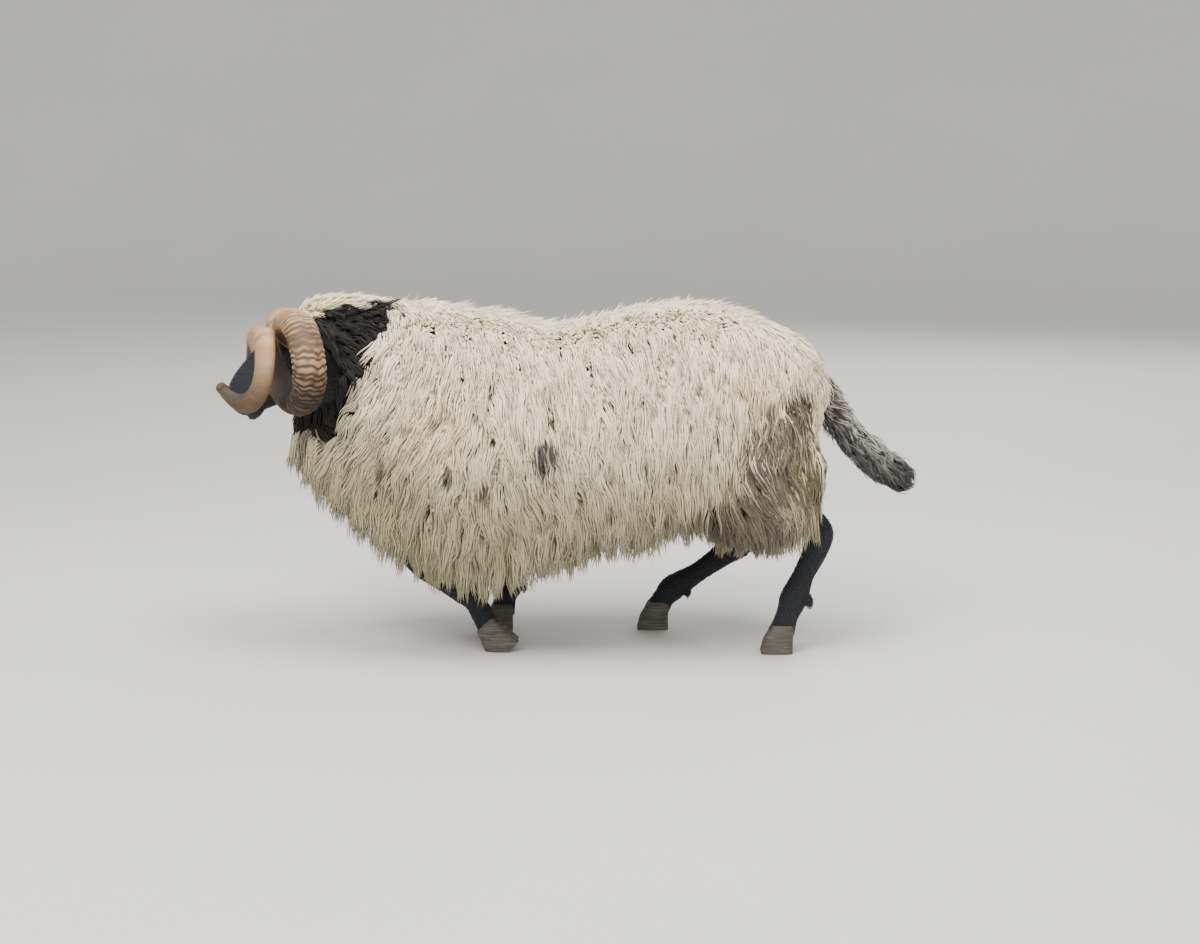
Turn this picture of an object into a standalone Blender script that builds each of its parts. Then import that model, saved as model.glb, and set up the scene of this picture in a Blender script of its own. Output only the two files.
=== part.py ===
"""Scottish Blackface ram, life size, as a still museum model in a slow trot.

The ram faces -X and its left side faces -Y. Z is up and the floor is at z = 0.
The fleece is a core with locks fused to it; horns, eyes, ears and hooves are pieces of their own.
"""

import math
import random

import bmesh
import bpy
from mathutils import Matrix, Vector
from mathutils.bvhtree import BVHTree

GAP = 0.0003
BENT_GAP = 0.0005
EAR_CLEARANCE = 0.0012
FLAT_ANGLE = math.radians(1.2)
PLANE_ANGLE = math.radians(0.05)
SHARP_ANGLE = math.radians(38.0)
SIDE = Vector((0.0, 1.0, 0.0))
DOWN = Vector((0.0, 0.0, -1.0))
REAR = Vector((1.0, 0.0, 0.0))
HANDS = ((-1, "left"), (1, "right"))

# Wool colours and bare parts, as the animal shows them
WHITE_WOOL = (0.80, 0.74, 0.62)
BLACK_HAIR = (0.012, 0.012, 0.016)
GREY_WOOL = (0.22, 0.21, 0.21)
HORN_BROWN = (0.52, 0.38, 0.25)
HOOF_GREY = (0.06, 0.055, 0.05)
EYE_AMBER = (0.30, 0.16, 0.04)

# Trunk at the tips of its fleece: x, top, bottom, half width
TRUNK = (
    (-0.548, 0.430, 0.350, 0.035),
    (-0.528, 0.468, 0.325, 0.085),
    (-0.495, 0.500, 0.290, 0.118),
    (-0.450, 0.545, 0.255, 0.145),
    (-0.400, 0.610, 0.215, 0.168),
    (-0.335, 0.665, 0.175, 0.200),
    (-0.250, 0.664, 0.140, 0.230),
    (-0.150, 0.657, 0.120, 0.238),
    (-0.050, 0.634, 0.145, 0.240),
    (0.045, 0.640, 0.180, 0.240),
    (0.142, 0.661, 0.205, 0.242),
    (0.260, 0.675, 0.235, 0.238),
    (0.347, 0.660, 0.255, 0.225),
    (0.415, 0.632, 0.280, 0.200),
    (0.466, 0.600, 0.325, 0.168),
    (0.505, 0.572, 0.415, 0.125),
    (0.530, 0.522, 0.455, 0.065),
)
TRUNK_SIDES = 20
TRUNK_SQUARE = (0.80, 0.66)

# How low the fleece hangs along the body: x, height of its lowest tips
HEM = (
    (-0.548, 0.350),
    (-0.500, 0.320),
    (-0.430, 0.265),
    (-0.350, 0.195),
    (-0.300, 0.150),
    (-0.180, 0.118),
    (-0.140, 0.114),
    (-0.060, 0.148),
    (0.045, 0.180),
    (0.177, 0.214),
    (0.250, 0.230),
    (0.300, 0.195),
    (0.430, 0.195),
    (0.470, 0.290),
    (0.530, 0.420),
)
SHORTEST_LOCK = 0.060

# Woolly thighs from the hip down: x, y, z, half width, half depth
THIGH_LEFT = (
    (0.372, -0.085, 0.485, 0.085, 0.092),
    (0.375, -0.125, 0.370, 0.085, 0.106),
    (0.362, -0.135, 0.290, 0.072, 0.098),
    (0.372, -0.130, 0.235, 0.052, 0.070),
    (0.385, -0.128, 0.205, 0.026, 0.038),
)
THIGH_RIGHT = (
    (0.370, 0.085, 0.470, 0.085, 0.110),
    (0.325, 0.125, 0.370, 0.085, 0.108),
    (0.300, 0.133, 0.290, 0.072, 0.092),
    (0.303, 0.128, 0.225, 0.052, 0.066),
    (0.312, 0.125, 0.190, 0.026, 0.036),
)

# Neck at the tips of its black wool, from inside the shoulders to the nape
NECK = (
    (-0.270, 0.0, 0.500, 0.150, 0.160),
    (-0.340, 0.0, 0.525, 0.145, 0.152),
    (-0.400, 0.0, 0.546, 0.134, 0.140),
    (-0.450, 0.0, 0.554, 0.120, 0.134),
    (-0.500, 0.0, 0.556, 0.098, 0.122),
    (-0.540, 0.0, 0.556, 0.072, 0.095),
)
NECK_SIDES = 16
COLLAR_FACE = (Vector((-0.398, 0.0, 0.543)), Vector((-0.944, 0.0, 0.330)))
THROAT_FACE = (Vector((-0.435, 0.0, 0.432)), Vector((0.250, 0.0, 0.968)))
NAPE_FACE = (Vector((-0.463, 0.0, 0.575)), Vector((-0.985, 0.0, 0.170)))

# Head, measured from the poll along the face: along, brow side, jaw side, half width,
# and how much narrower the section is at the brow and at the jaw
POLL = Vector((-0.500, 0.0, 0.630))
FACE_PITCH = math.radians(46.0)
HEAD_YAW = math.radians(10.0)
HEAD_ROLL = math.radians(-5.0)
HEAD_PIVOT = Vector((-0.50, 0.0, 0.57))
HEAD = (
    (-0.045, -0.010, -0.088, 0.040, 0.10, 0.20),
    (-0.018, 0.018, -0.108, 0.055, 0.16, 0.30),
    (0.016, 0.031, -0.120, 0.062, 0.20, 0.40),
    (0.050, 0.034, -0.124, 0.064, 0.20, 0.46),
    (0.084, 0.037, -0.116, 0.060, 0.26, 0.48),
    (0.112, 0.038, -0.102, 0.050, 0.30, 0.44),
    (0.138, 0.037, -0.084, 0.044, 0.28, 0.34),
    (0.163, 0.035, -0.070, 0.042, 0.22, 0.24),
    (0.185, 0.031, -0.062, 0.042, 0.14, 0.20),
    (0.203, 0.023, -0.055, 0.040, 0.10, 0.22),
    (0.216, 0.011, -0.044, 0.032, 0.10, 0.26),
    (0.223, -0.005, -0.028, 0.015, 0.10, 0.20),
)
HEAD_SIDES = 18

# Horn: a helix on an axis that points forward, a little outward and down
HORN_START = Vector((-0.523, -0.155, 0.550))
HORN_OUTWARD = math.radians(12.5)
HORN_DOWNWARD = math.radians(9.3)
HORN_REACH = 0.148
HORN_REACH_POWER = 1.75
HORN_COIL = (0.080, 0.048)
HORN_TURN = math.radians(621)
HORN_FIRST_ANGLE = math.radians(-16.4)
HORN_ROOT = Vector((-0.514, -0.026, 0.588))
HORN_ROOT_REACH = 0.060
HORN_ROOT_STEPS = 3
HORN_RADII = (0.0320, 0.0320, 0.0305, 0.0275, 0.0240, 0.0215, 0.0205, 0.0195, 0.0100)
HORN_FLATNESS = 0.88
HORN_SIDES = 10
HORN_RINGS = 48
RIDGES = 24
RIDGE_DEPTH = 0.0024

EYE_RADIUS = 0.0142
EYE_PLACE = (0.086, 0.005, 0.0365)
EYE_GAZE = Vector((0.34, 0.36, 0.87))
EYE_OPENING = (0.0140, 0.0080, 0.0120)
LID = (0.0250, 0.0215, 0.0182)
# Each nostril is a comma of two hollows: along, brow side, out, and their radius
NOSTRIL = ((0.2205, -0.0020, 0.0090, 0.0050), (0.2180, 0.0045, 0.0145, 0.0056))
CHIN_PLACE = (0.198, -0.050, 0.0)
CHIN = (0.020, 0.028, 0.013)
MOUTH_PLACE = (0.192, -0.0340)
MOUTH_LENGTH = 0.044
MOUTH_DEPTH = 0.0045
MOUTH_HEIGHT = 0.0024

# Left ear's midrib from its root: along, brow side, out, half width
EAR = (
    (0.036, -0.062, 0.044, 0.012),
    (0.035, -0.074, 0.066, 0.021),
    (0.034, -0.087, 0.088, 0.025),
    (0.033, -0.100, 0.110, 0.022),
    (0.032, -0.110, 0.130, 0.015),
    (0.031, -0.116, 0.145, 0.005),
)
EAR_THICKNESS = 0.0035
EAR_CUP = 0.40

# Legs from inside the wool to the coronet: x, y, z, half width, half depth
LEGS = {
    "fore_leg_left": (
        (-0.262, -0.100, 0.305, 0.036, 0.044),
        (-0.286, -0.094, 0.248, 0.029, 0.034),
        (-0.300, -0.090, 0.198, 0.025, 0.026),
        (-0.280, -0.089, 0.163, 0.019, 0.021),
        (-0.239, -0.088, 0.136, 0.018, 0.021),
        (-0.200, -0.088, 0.116, 0.022, 0.026),
        (-0.177, -0.088, 0.094, 0.020, 0.022),
        (-0.160, -0.088, 0.064, 0.021, 0.023),
        (-0.152, -0.088, 0.044, 0.021, 0.022),
    ),
    "fore_leg_right": (
        (-0.232, 0.100, 0.330, 0.036, 0.048),
        (-0.200, 0.094, 0.270, 0.030, 0.038),
        (-0.168, 0.090, 0.216, 0.026, 0.031),
        (-0.153, 0.089, 0.180, 0.019, 0.023),
        (-0.134, 0.088, 0.136, 0.018, 0.021),
        (-0.116, 0.087, 0.098, 0.023, 0.027),
        (-0.123, 0.087, 0.070, 0.020, 0.022),
        (-0.131, 0.087, 0.043, 0.022, 0.026),
    ),
    "hind_leg_left": (
        (0.385, -0.122, 0.292, 0.032, 0.042),
        (0.438, -0.118, 0.268, 0.027, 0.033),
        (0.482, -0.115, 0.238, 0.024, 0.029),
        (0.474, -0.113, 0.195, 0.020, 0.025),
        (0.454, -0.112, 0.152, 0.018, 0.022),
        (0.437, -0.111, 0.108, 0.024, 0.028),
        (0.424, -0.110, 0.073, 0.020, 0.023),
        (0.414, -0.110, 0.043, 0.022, 0.026),
    ),
    "hind_leg_right": (
        (0.280, 0.120, 0.285, 0.032, 0.044),
        (0.316, 0.116, 0.232, 0.027, 0.036),
        (0.346, 0.113, 0.182, 0.024, 0.033),
        (0.310, 0.111, 0.150, 0.019, 0.025),
        (0.262, 0.110, 0.115, 0.018, 0.021),
        (0.212, 0.109, 0.083, 0.023, 0.027),
        (0.193, 0.108, 0.063, 0.020, 0.023),
        (0.180, 0.108, 0.043, 0.022, 0.025),
    ),
}
LEG_SIDES = 10
DEWCLAW_RADIUS = 0.0075

# Hooves: pitch of the foot in degrees, where the toe of a folded foot points down
HOOF_PITCH = {
    "fore_leg_left": 50.0,
    "fore_leg_right": 0.0,
    "hind_leg_left": 0.0,
    "hind_leg_right": 0.0,
}
HOOF_CLEFT = 0.003
# One claw in the foot's own frame, forward is +u: u, height, half length, half width
HOOF = (
    (0.000, 0.012, 0.021, 0.0100),
    (0.003, -0.005, 0.0245, 0.0115),
    (0.008, -0.022, 0.0285, 0.0125),
    (0.012, -0.060, 0.0330, 0.0130),
)
HOOF_SIDES = 10

TAIL = (
    (0.455, 0.0, 0.540, 0.026, 0.030),
    (0.492, 0.0, 0.497, 0.029, 0.032),
    (0.524, 0.0, 0.442, 0.028, 0.030),
    (0.556, 0.0, 0.397, 0.031, 0.034),
    (0.598, 0.0, 0.361, 0.031, 0.034),
    (0.635, 0.0, 0.334, 0.030, 0.033),
    (0.670, 0.0, 0.312, 0.024, 0.026),
    (0.694, 0.0, 0.297, 0.008, 0.009),
)

# Coats: how far the core lies inside the tips, the spacing of the roots, and one lock's sizes
COATS = {
    "fleece": {
        "depth": 0.034, "spacing": 0.091, "length": 0.150, "width": 0.110, "thick": 0.036,
        "seed": 11,
    },
    "mane": {
        "depth": 0.016, "spacing": 0.064, "length": 0.082, "width": 0.070, "thick": 0.020,
        "seed": 12,
    },
    "brush": {
        "depth": 0.012, "spacing": 0.040, "length": 0.085, "width": 0.042, "thick": 0.016,
        "seed": 13,
    },
}
# The tail's long hair roots between these places
BRUSH_X = (0.530, 0.618)
LOCK_VARIATION = 0.18
LOCK_SWING = 0.22
# A lock from root to tip: share of its length, height and thickness as shares of the coat's
LOCK_STATIONS = (
    (-0.06, -0.80, 0.80, 0.90),
    (0.26, 0.46, 1.00, 1.00),
    (0.68, 0.84, 0.86, 0.80),
)
LOCK_TIP = (1.06, 0.72)
# Where the wool hangs free, under the flanks and the brisket, its locks are longer
FREE_LENGTH = 1.12
# The chest's locks, in front of this, grow closer together
CHEST_X = -0.33
CHEST_CLOSER = 0.92


def clear_scene():
    for obj in list(bpy.data.objects):
        bpy.data.objects.remove(obj)


def material(name, colour, roughness):
    made = bpy.data.materials.new(name)
    made.use_nodes = True
    shader = made.node_tree.nodes["Principled BSDF"]
    shader.inputs["Base Color"].default_value = (*colour, 1.0)
    shader.inputs["Roughness"].default_value = roughness
    return made


def spline(rows, steps):
    """The rows of numbers with steps - 1 more between each two, on a Catmull-Rom curve."""
    out = []
    for i in range(len(rows) - 1):
        a, b = rows[max(i - 1, 0)], rows[i]
        c, d = rows[i + 1], rows[min(i + 2, len(rows) - 1)]
        for k in range(steps):
            t = k / steps
            out.append([
                0.5 * (2 * q + (r - p) * t + (2 * p - 5 * q + 4 * r - s) * t * t
                       + (3 * q - p - 3 * r + s) * t ** 3)
                for p, q, r, s in zip(a, b, c, d)
            ])
    out.append(list(rows[-1]))
    return out


def circle(count):
    """Cosine and sine of count even steps round a circle."""
    return [
        (math.cos(2 * math.pi * k / count), math.sin(2 * math.pi * k / count))
        for k in range(count)
    ]


def solid(name, bm):
    bmesh.ops.triangulate(bm, faces=bm.faces[:])
    bmesh.ops.recalc_face_normals(bm, faces=bm.faces[:])
    if bm.calc_volume(signed=True) < 0:
        bmesh.ops.reverse_faces(bm, faces=bm.faces[:])
    mesh = bpy.data.meshes.new(name)
    bm.to_mesh(mesh)
    bm.free()
    return bpy.data.objects.new(name, mesh)


def lofted(name, rings):
    """One closed body through rings of points, with flat ends."""
    bm = bmesh.new()
    rows = [[bm.verts.new(point) for point in ring] for ring in rings]
    count = len(rows[0])
    for first, second in zip(rows, rows[1:]):
        for i in range(count):
            j = (i + 1) % count
            bm.faces.new((first[i], first[j], second[j]))
            bm.faces.new((first[i], second[j], second[i]))
    bm.faces.new(list(reversed(rows[0])))
    bm.faces.new(rows[-1])
    return solid(name, bm)


def tube_rings(stations, sides, grow=0.0, start=SIDE):
    """Oval rings square to a path: each station is x, y, z, half width, half depth."""
    centres = [Vector(station[:3]) for station in stations]
    across = start
    rings = []
    for i, (centre, station) in enumerate(zip(centres, stations)):
        ahead = centres[min(i + 1, len(centres) - 1)]
        behind = centres[max(i - 1, 0)]
        tangent = (ahead - behind).normalized()
        across = (across - tangent * across.dot(tangent)).normalized()
        deep = tangent.cross(across)
        if i == 0:
            centre = centre - tangent * grow
        if i == len(centres) - 1:
            centre = centre + tangent * grow
        wide, depth = station[3] + grow, station[4] + grow
        rings.append([centre + across * wide * c + deep * depth * s for c, s in circle(sides)])
    return rings


def limb(name, rows, sides=LEG_SIDES, steps=2, grow=0.0):
    return lofted(name, tube_rings(spline(rows, steps), sides, grow))


def ball(name, centre, radii, sides=10, rings=7, turn=None):
    bm = bmesh.new()
    bmesh.ops.create_uvsphere(bm, u_segments=sides, v_segments=rings, radius=1.0)
    bm.transform(Matrix.Diagonal((*radii, 1.0)))
    if turn is not None:
        bm.transform(turn.to_4x4())
    bm.transform(Matrix.Translation(centre))
    return solid(name, bm)


def half_space(point, normal, reach=0.9):
    """A box that fills everything on the side of a plane that its normal points to."""
    normal = normal.normalized()
    turn = normal.to_track_quat("Z", "Y").to_matrix().to_4x4()
    bm = bmesh.new()
    bmesh.ops.create_cube(bm, size=2 * reach)
    bm.transform(Matrix.Translation(point + normal * reach) @ turn)
    return solid("half", bm)


def put_in_scene(obj):
    if not obj.users_collection:
        bpy.context.scene.collection.objects.link(obj)


def apply_boolean(obj, operation, solver="MANIFOLD", pieces=None, cutter=None):
    """Runs one Boolean on obj and keeps its result as the mesh of obj."""
    change = obj.modifiers.new("boolean", "BOOLEAN")
    change.operation = operation
    change.solver = solver
    if pieces is not None:
        change.operand_type = "COLLECTION"
        change.collection = pieces
    else:
        change.object = cutter
    bpy.context.view_layer.update()
    evaluated = obj.evaluated_get(bpy.context.evaluated_depsgraph_get())
    made = bpy.data.meshes.new_from_object(evaluated)
    obj.modifiers.clear()
    obj.data = made
    return obj


def fuse(obj, others):
    """Joins the others to obj by one union, and removes them."""
    put_in_scene(obj)
    pieces = bpy.data.collections.new("pieces")
    bpy.context.scene.collection.children.link(pieces)
    for other in others:
        pieces.objects.link(other)
    apply_boolean(obj, "UNION", pieces=pieces)
    for other in list(pieces.objects):
        bpy.data.objects.remove(other)
    bpy.data.collections.remove(pieces)
    return obj


def cut(obj, cutters, operation="DIFFERENCE"):
    """Takes each cutter away from obj, or keeps only what is inside it, and removes it."""
    put_in_scene(obj)
    for cutter in cutters:
        put_in_scene(cutter)
        apply_boolean(obj, operation, cutter=cutter)
        bpy.data.objects.remove(cutter)
    return obj


def merge_flats(obj, angle):
    """Merges the faces that lie in one plane, which a union or a cut leaves in slivers."""
    bm = bmesh.new()
    bm.from_mesh(obj.data)
    bmesh.ops.dissolve_limit(bm, angle_limit=angle, verts=bm.verts[:], edges=bm.edges[:])
    bmesh.ops.triangulate(bm, faces=bm.faces[:])
    bm.to_mesh(obj.data)
    bm.free()
    return obj


def keep_largest(obj):
    """Drops loose scraps and sealed hollows: only the largest closed surface stays."""
    bm = bmesh.new()
    bm.from_mesh(obj.data)
    bmesh.ops.triangulate(bm, faces=bm.faces[:])
    seen = set()
    islands = []
    for face in bm.faces:
        if face in seen:
            continue
        seen.add(face)
        island = []
        queue = [face]
        while queue:
            here = queue.pop()
            island.append(here)
            for edge in here.edges:
                for other in edge.link_faces:
                    if other not in seen:
                        seen.add(other)
                        queue.append(other)
        islands.append(island)

    def volume(island):
        return sum(f.verts[0].co.dot(f.verts[1].co.cross(f.verts[2].co)) for f in island)

    islands.sort(key=volume)
    loose = [face for island in islands[:-1] for face in island]
    bmesh.ops.delete(bm, geom=loose, context="FACES")
    bm.to_mesh(obj.data)
    bm.free()
    return merge_flats(obj, PLANE_ANGLE)


def finish(obj, name, collection, paint):
    """Puts a finished node in the ram's collection with its name and its one material."""
    for face in obj.data.polygons:
        face.use_smooth = True
    obj.data.set_sharp_from_angle(angle=SHARP_ANGLE)
    for other in list(obj.users_collection):
        other.objects.unlink(obj)
    collection.objects.link(obj)
    obj.name = name
    obj.data.materials.clear()
    obj.data.materials.append(paint)
    return obj


def trunk_form(inset=0.0):
    """The fleeced trunk as upright rings from brisket to rump, fuller below than an oval."""
    rings = []
    reach = max(abs(row[0]) for row in TRUNK)
    for x, top, bottom, half in TRUNK:
        x = x * (1 - inset / reach)
        middle, tall = (top + bottom) / 2, max((top - bottom) / 2 - inset, inset / 4)
        half = max(half - inset, inset / 4)
        ring = []
        for c, s in circle(TRUNK_SIDES):
            square = TRUNK_SQUARE[0] if s > 0 else TRUNK_SQUARE[1]
            across = half * math.copysign(abs(c) ** square, c)
            ring.append(Vector((x, across, middle + tall * math.copysign(abs(s) ** square, s))))
        rings.append(ring)
    return lofted("trunk", rings)


def collar_wedge(grow):
    """The space of the neck: in front of the collar's face and over the throat's face."""
    front, over = COLLAR_FACE, THROAT_FACE
    wedge = half_space(front[0] - front[1].normalized() * grow, front[1])
    above = half_space(over[0] - over[1].normalized() * grow, over[1])
    return cut(wedge, [above], "INTERSECT")


def hem(x):
    """The height of the fleece's lowest tips at a place along the body."""
    for (near, low), (far, high) in zip(HEM, HEM[1:]):
        if near <= x <= far:
            return low + (high - low) * (x - near) / (far - near)
    return 0.0


def fleece_lie(place, normal):
    """Which way the locks hang: down and a little back, and off the spine to each side."""
    outward = SIDE * math.copysign(1.0, place.y) * max(0.0, normal.z)
    return DOWN + REAR * (0.28 + 0.5 * max(0.0, normal.z)) + outward


def mane_lie(place, normal):
    """The neck's wool lies back over the collar and hangs at the throat."""
    return DOWN * 0.8 + REAR * 0.9


def brush_lie(place, normal):
    """The tail's hair lies along the tail and droops."""
    return REAR * 0.8 + DOWN * 0.62


def root_places(surface, coat, allowed):
    """Points spread evenly over a mesh: seeded draws by area, each kept clear of the others."""
    draw = random.Random(coat["seed"])
    faces = surface.data.polygons
    verts = surface.data.vertices
    areas = [face.area for face in faces]
    kept = []
    for index in draw.choices(range(len(faces)), weights=areas, k=9000):
        corners = [verts[i].co for i in faces[index].vertices]
        first, second = sorted((draw.random(), draw.random()))
        place = corners[0] * first + corners[1] * (second - first) + corners[2] * (1 - second)
        if not allowed(place, faces[index].normal):
            continue
        close = coat["spacing"] * (CHEST_CLOSER if place.x < CHEST_X else 1.0)
        if all((place - other).length > close for other in kept):
            kept.append(place)
    return kept


def lock_rings(place, tree, lie, coat, draw, grow):
    """The rings and the tip of one lock that rises from its root and follows the surface."""
    vary = 1 + draw.uniform(-LOCK_VARIATION, LOCK_VARIATION)
    length, width = coat["length"] * vary, coat["width"] * (2 - vary)
    swing = draw.uniform(-LOCK_SWING, LOCK_SWING)
    here, normal = tree.find_nearest(place)[:2]
    if normal.z < 0.0:
        length = length * FREE_LENGTH
    length = min(length, max(place.z - hem(place.x), SHORTEST_LOCK))
    reached = 0.0
    rings = []
    heading = None
    for share, height, wide, thick in (*LOCK_STATIONS, (*LOCK_TIP, 0.0, 0.0)):
        way = lie(here, normal)
        across = way.cross(normal).normalized()
        way = (way - normal * way.dot(normal)).normalized() + across * swing
        if heading is not None:
            way = (way + heading) / 2
        heading = way.normalized()
        there = here + heading * length * (share - reached)
        reached = share
        near, near_normal = tree.find_nearest(there)[:2]
        if near_normal.z > -0.45 and near_normal.dot(normal) > 0.5:
            here, normal = near, near_normal
        else:
            here = there
        across = heading.cross(normal).normalized()
        over = across.cross(heading).normalized()
        centre = here + over * coat["depth"] * height
        if wide == 0.0:
            rings.append([centre + heading * grow])
            continue
        half, tall = width * wide / 2 + grow, coat["thick"] * thick / 2 + grow
        rings.append([
            centre + across * half,
            centre + over * tall,
            centre - across * half,
            centre - over * tall,
        ])
    return rings


def lock_form(rings):
    """One closed lock: a flat root, four-sided rings and a point."""
    bm = bmesh.new()
    rows = [[bm.verts.new(point) for point in ring] for ring in rings]
    for first, second in zip(rows, rows[1:]):
        for i in range(len(first)):
            j = (i + 1) % len(first)
            if len(second) == 1:
                bm.faces.new((first[i], first[j], second[0]))
                continue
            bm.faces.new((first[i], first[j], second[j]))
            bm.faces.new((first[i], second[j], second[i]))
    bm.faces.new(list(reversed(rows[0])))
    return solid("lock", bm)


def with_coat(core, coat, lie, allowed, grow=0.0):
    """The core with locks of one coat fused over it."""
    tree = BVHTree.FromPolygons(
        [v.co.copy() for v in core.data.vertices],
        [list(f.vertices) for f in core.data.polygons],
    )
    draw = random.Random(coat["seed"])
    places = root_places(core, coat, allowed)
    locks = [lock_form(lock_rings(p, tree, lie, coat, draw, grow)) for p in places]
    return merge_flats(fuse(core, locks), FLAT_ANGLE)


def head_turn():
    """The small yaw and roll of the head, which turn its left side up and forward."""
    yaw = Matrix.Rotation(HEAD_YAW, 4, "Z")
    roll = Matrix.Rotation(HEAD_ROLL, 4, "X")
    return Matrix.Translation(HEAD_PIVOT) @ yaw @ roll @ Matrix.Translation(-HEAD_PIVOT)


def face_axes():
    """The head's own directions in space: along the face, up to the brow, and to the right."""
    turn = head_turn().to_3x3()
    along = turn @ Vector((-math.cos(FACE_PITCH), 0.0, -math.sin(FACE_PITCH)))
    brow = turn @ Vector((-math.sin(FACE_PITCH), 0.0, math.cos(FACE_PITCH)))
    return along, brow, turn @ SIDE


def on_face(along, brow, side):
    """A point of the head: along the face from the poll, up towards the brow, to the side."""
    axes = face_axes()
    return head_turn() @ POLL + axes[0] * along + axes[1] * brow + axes[2] * side


def head_form(inset=0.0, sides=HEAD_SIDES, steps=2):
    rings = []
    for along, brow, jaw, half, top_taper, jaw_taper in spline(HEAD, steps):
        middle, tall = (brow + jaw) / 2, (brow - jaw) / 2 - inset
        ring = []
        for c, s in circle(sides):
            narrow = 1.0 - (top_taper if s > 0 else jaw_taper) * abs(s) ** 1.5
            ring.append(on_face(along - inset, middle + tall * s, (half - inset) * narrow * c))
        rings.append(ring)
    return lofted("skull", rings)


def mouth_cutter():
    """A thin horseshoe that marks the mouth line round the muzzle."""
    along, brow = MOUTH_PLACE
    bm = bmesh.new()
    bmesh.ops.create_cube(bm, size=1.0)
    bm.transform(Matrix.Diagonal((2 * MOUTH_LENGTH, 0.12, MOUTH_HEIGHT, 1.0)))
    axes = face_axes()
    turn = Matrix((axes[0], axes[2], axes[1])).transposed().to_4x4()
    bm.transform(Matrix.Translation(on_face(along + MOUTH_LENGTH / 2, brow, 0.0)) @ turn)
    return cut(solid("mouth", bm), [head_form(MOUTH_DEPTH, 12, 1)])


def face_ball(name, place, radii, side):
    """A ball with its axes along the face, to the side and up to the brow."""
    axes = face_axes()
    turn = Matrix((axes[0], axes[2], axes[1])).transposed()
    along, brow, out = place
    return ball(name, on_face(along, brow, side * out), radii, turn=turn)


def head_solid():
    """The head with chin, lids, mouth line and nostrils, and sockets for its eyes."""
    head = head_form()
    socket = EYE_RADIUS + GAP
    gaze = Vector(EYE_PLACE) + EYE_GAZE.normalized() * EYE_RADIUS
    lids = [face_ball("lid", EYE_PLACE, (LID[0], LID[2], LID[1]), side) for side, word in HANDS]
    chin = face_ball("chin", CHIN_PLACE, (CHIN[0], CHIN[1], CHIN[2]), 1)
    fuse(head, [*lids, chin])
    for side, word in HANDS:
        long, high, deep = EYE_OPENING
        cut(head, [face_ball("opening", gaze, (long, deep, high), side)])
        cut(head, [face_ball("socket", EYE_PLACE, (socket, socket, socket), side)])
        for along, brow, out, radius in NOSTRIL:
            cut(head, [face_ball("nostril", (along, brow, out), (radius, radius, radius), side)])
    cut(head, [mouth_cutter()])
    return merge_flats(head, FLAT_ANGLE)


def horn_stations():
    """The left horn's centre line from the skull to its tip, with half width and thickness."""
    forward = Vector((
        -math.cos(HORN_OUTWARD) * math.cos(HORN_DOWNWARD),
        -math.sin(HORN_OUTWARD) * math.cos(HORN_DOWNWARD),
        -math.sin(HORN_DOWNWARD),
    ))
    outward = Vector((math.sin(HORN_OUTWARD), -math.cos(HORN_OUTWARD), 0.0))
    upward = outward.cross(forward)
    if upward.z < 0:
        upward = -upward
    radii = spline([(radius,) for radius in HORN_RADII], HORN_RINGS // (len(HORN_RADII) - 1))
    first = HORN_START + HORN_COIL[0] * (
        upward * math.cos(HORN_FIRST_ANGLE) + outward * math.sin(HORN_FIRST_ANGLE)
    )
    leaving = outward * math.cos(HORN_FIRST_ANGLE) - upward * math.sin(HORN_FIRST_ANGLE)
    bend = first - leaving * HORN_ROOT_REACH
    stations = []
    for i in range(HORN_ROOT_STEPS):
        t = i / HORN_ROOT_STEPS
        place = HORN_ROOT * (1 - t) ** 2 + bend * 2 * t * (1 - t) + first * t * t
        stations.append((*place, HORN_RADII[0], HORN_RADII[0]))
    for i in range(HORN_RINGS + 1):
        share = i / HORN_RINGS
        angle = HORN_FIRST_ANGLE + HORN_TURN * share
        coil = HORN_COIL[0] + (HORN_COIL[1] - HORN_COIL[0]) * share
        place = HORN_START + forward * HORN_REACH * share ** HORN_REACH_POWER
        place = place + upward * coil * math.cos(angle) + outward * coil * math.sin(angle)
        ridge = RIDGE_DEPTH * (1 - share) * math.cos(2 * math.pi * RIDGES * share)
        radius = radii[i][0] + ridge
        stations.append((*place, radius, radius * HORN_FLATNESS))
    return stations


def horn_form(side, grow=0.0):
    """A horn on its curled centre line; the right one mirrors the left in the head."""
    turn = head_turn()
    stations = []
    for x, y, z, wide, deep in horn_stations():
        place = turn @ Vector((x, y if side < 0 else -y, z))
        stations.append((*place, wide, deep))
    start = turn.to_3x3() @ Vector((-1.0, 0.0, 0.0))
    return lofted("horn", tube_rings(stations, HORN_SIDES, grow, start))


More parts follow.
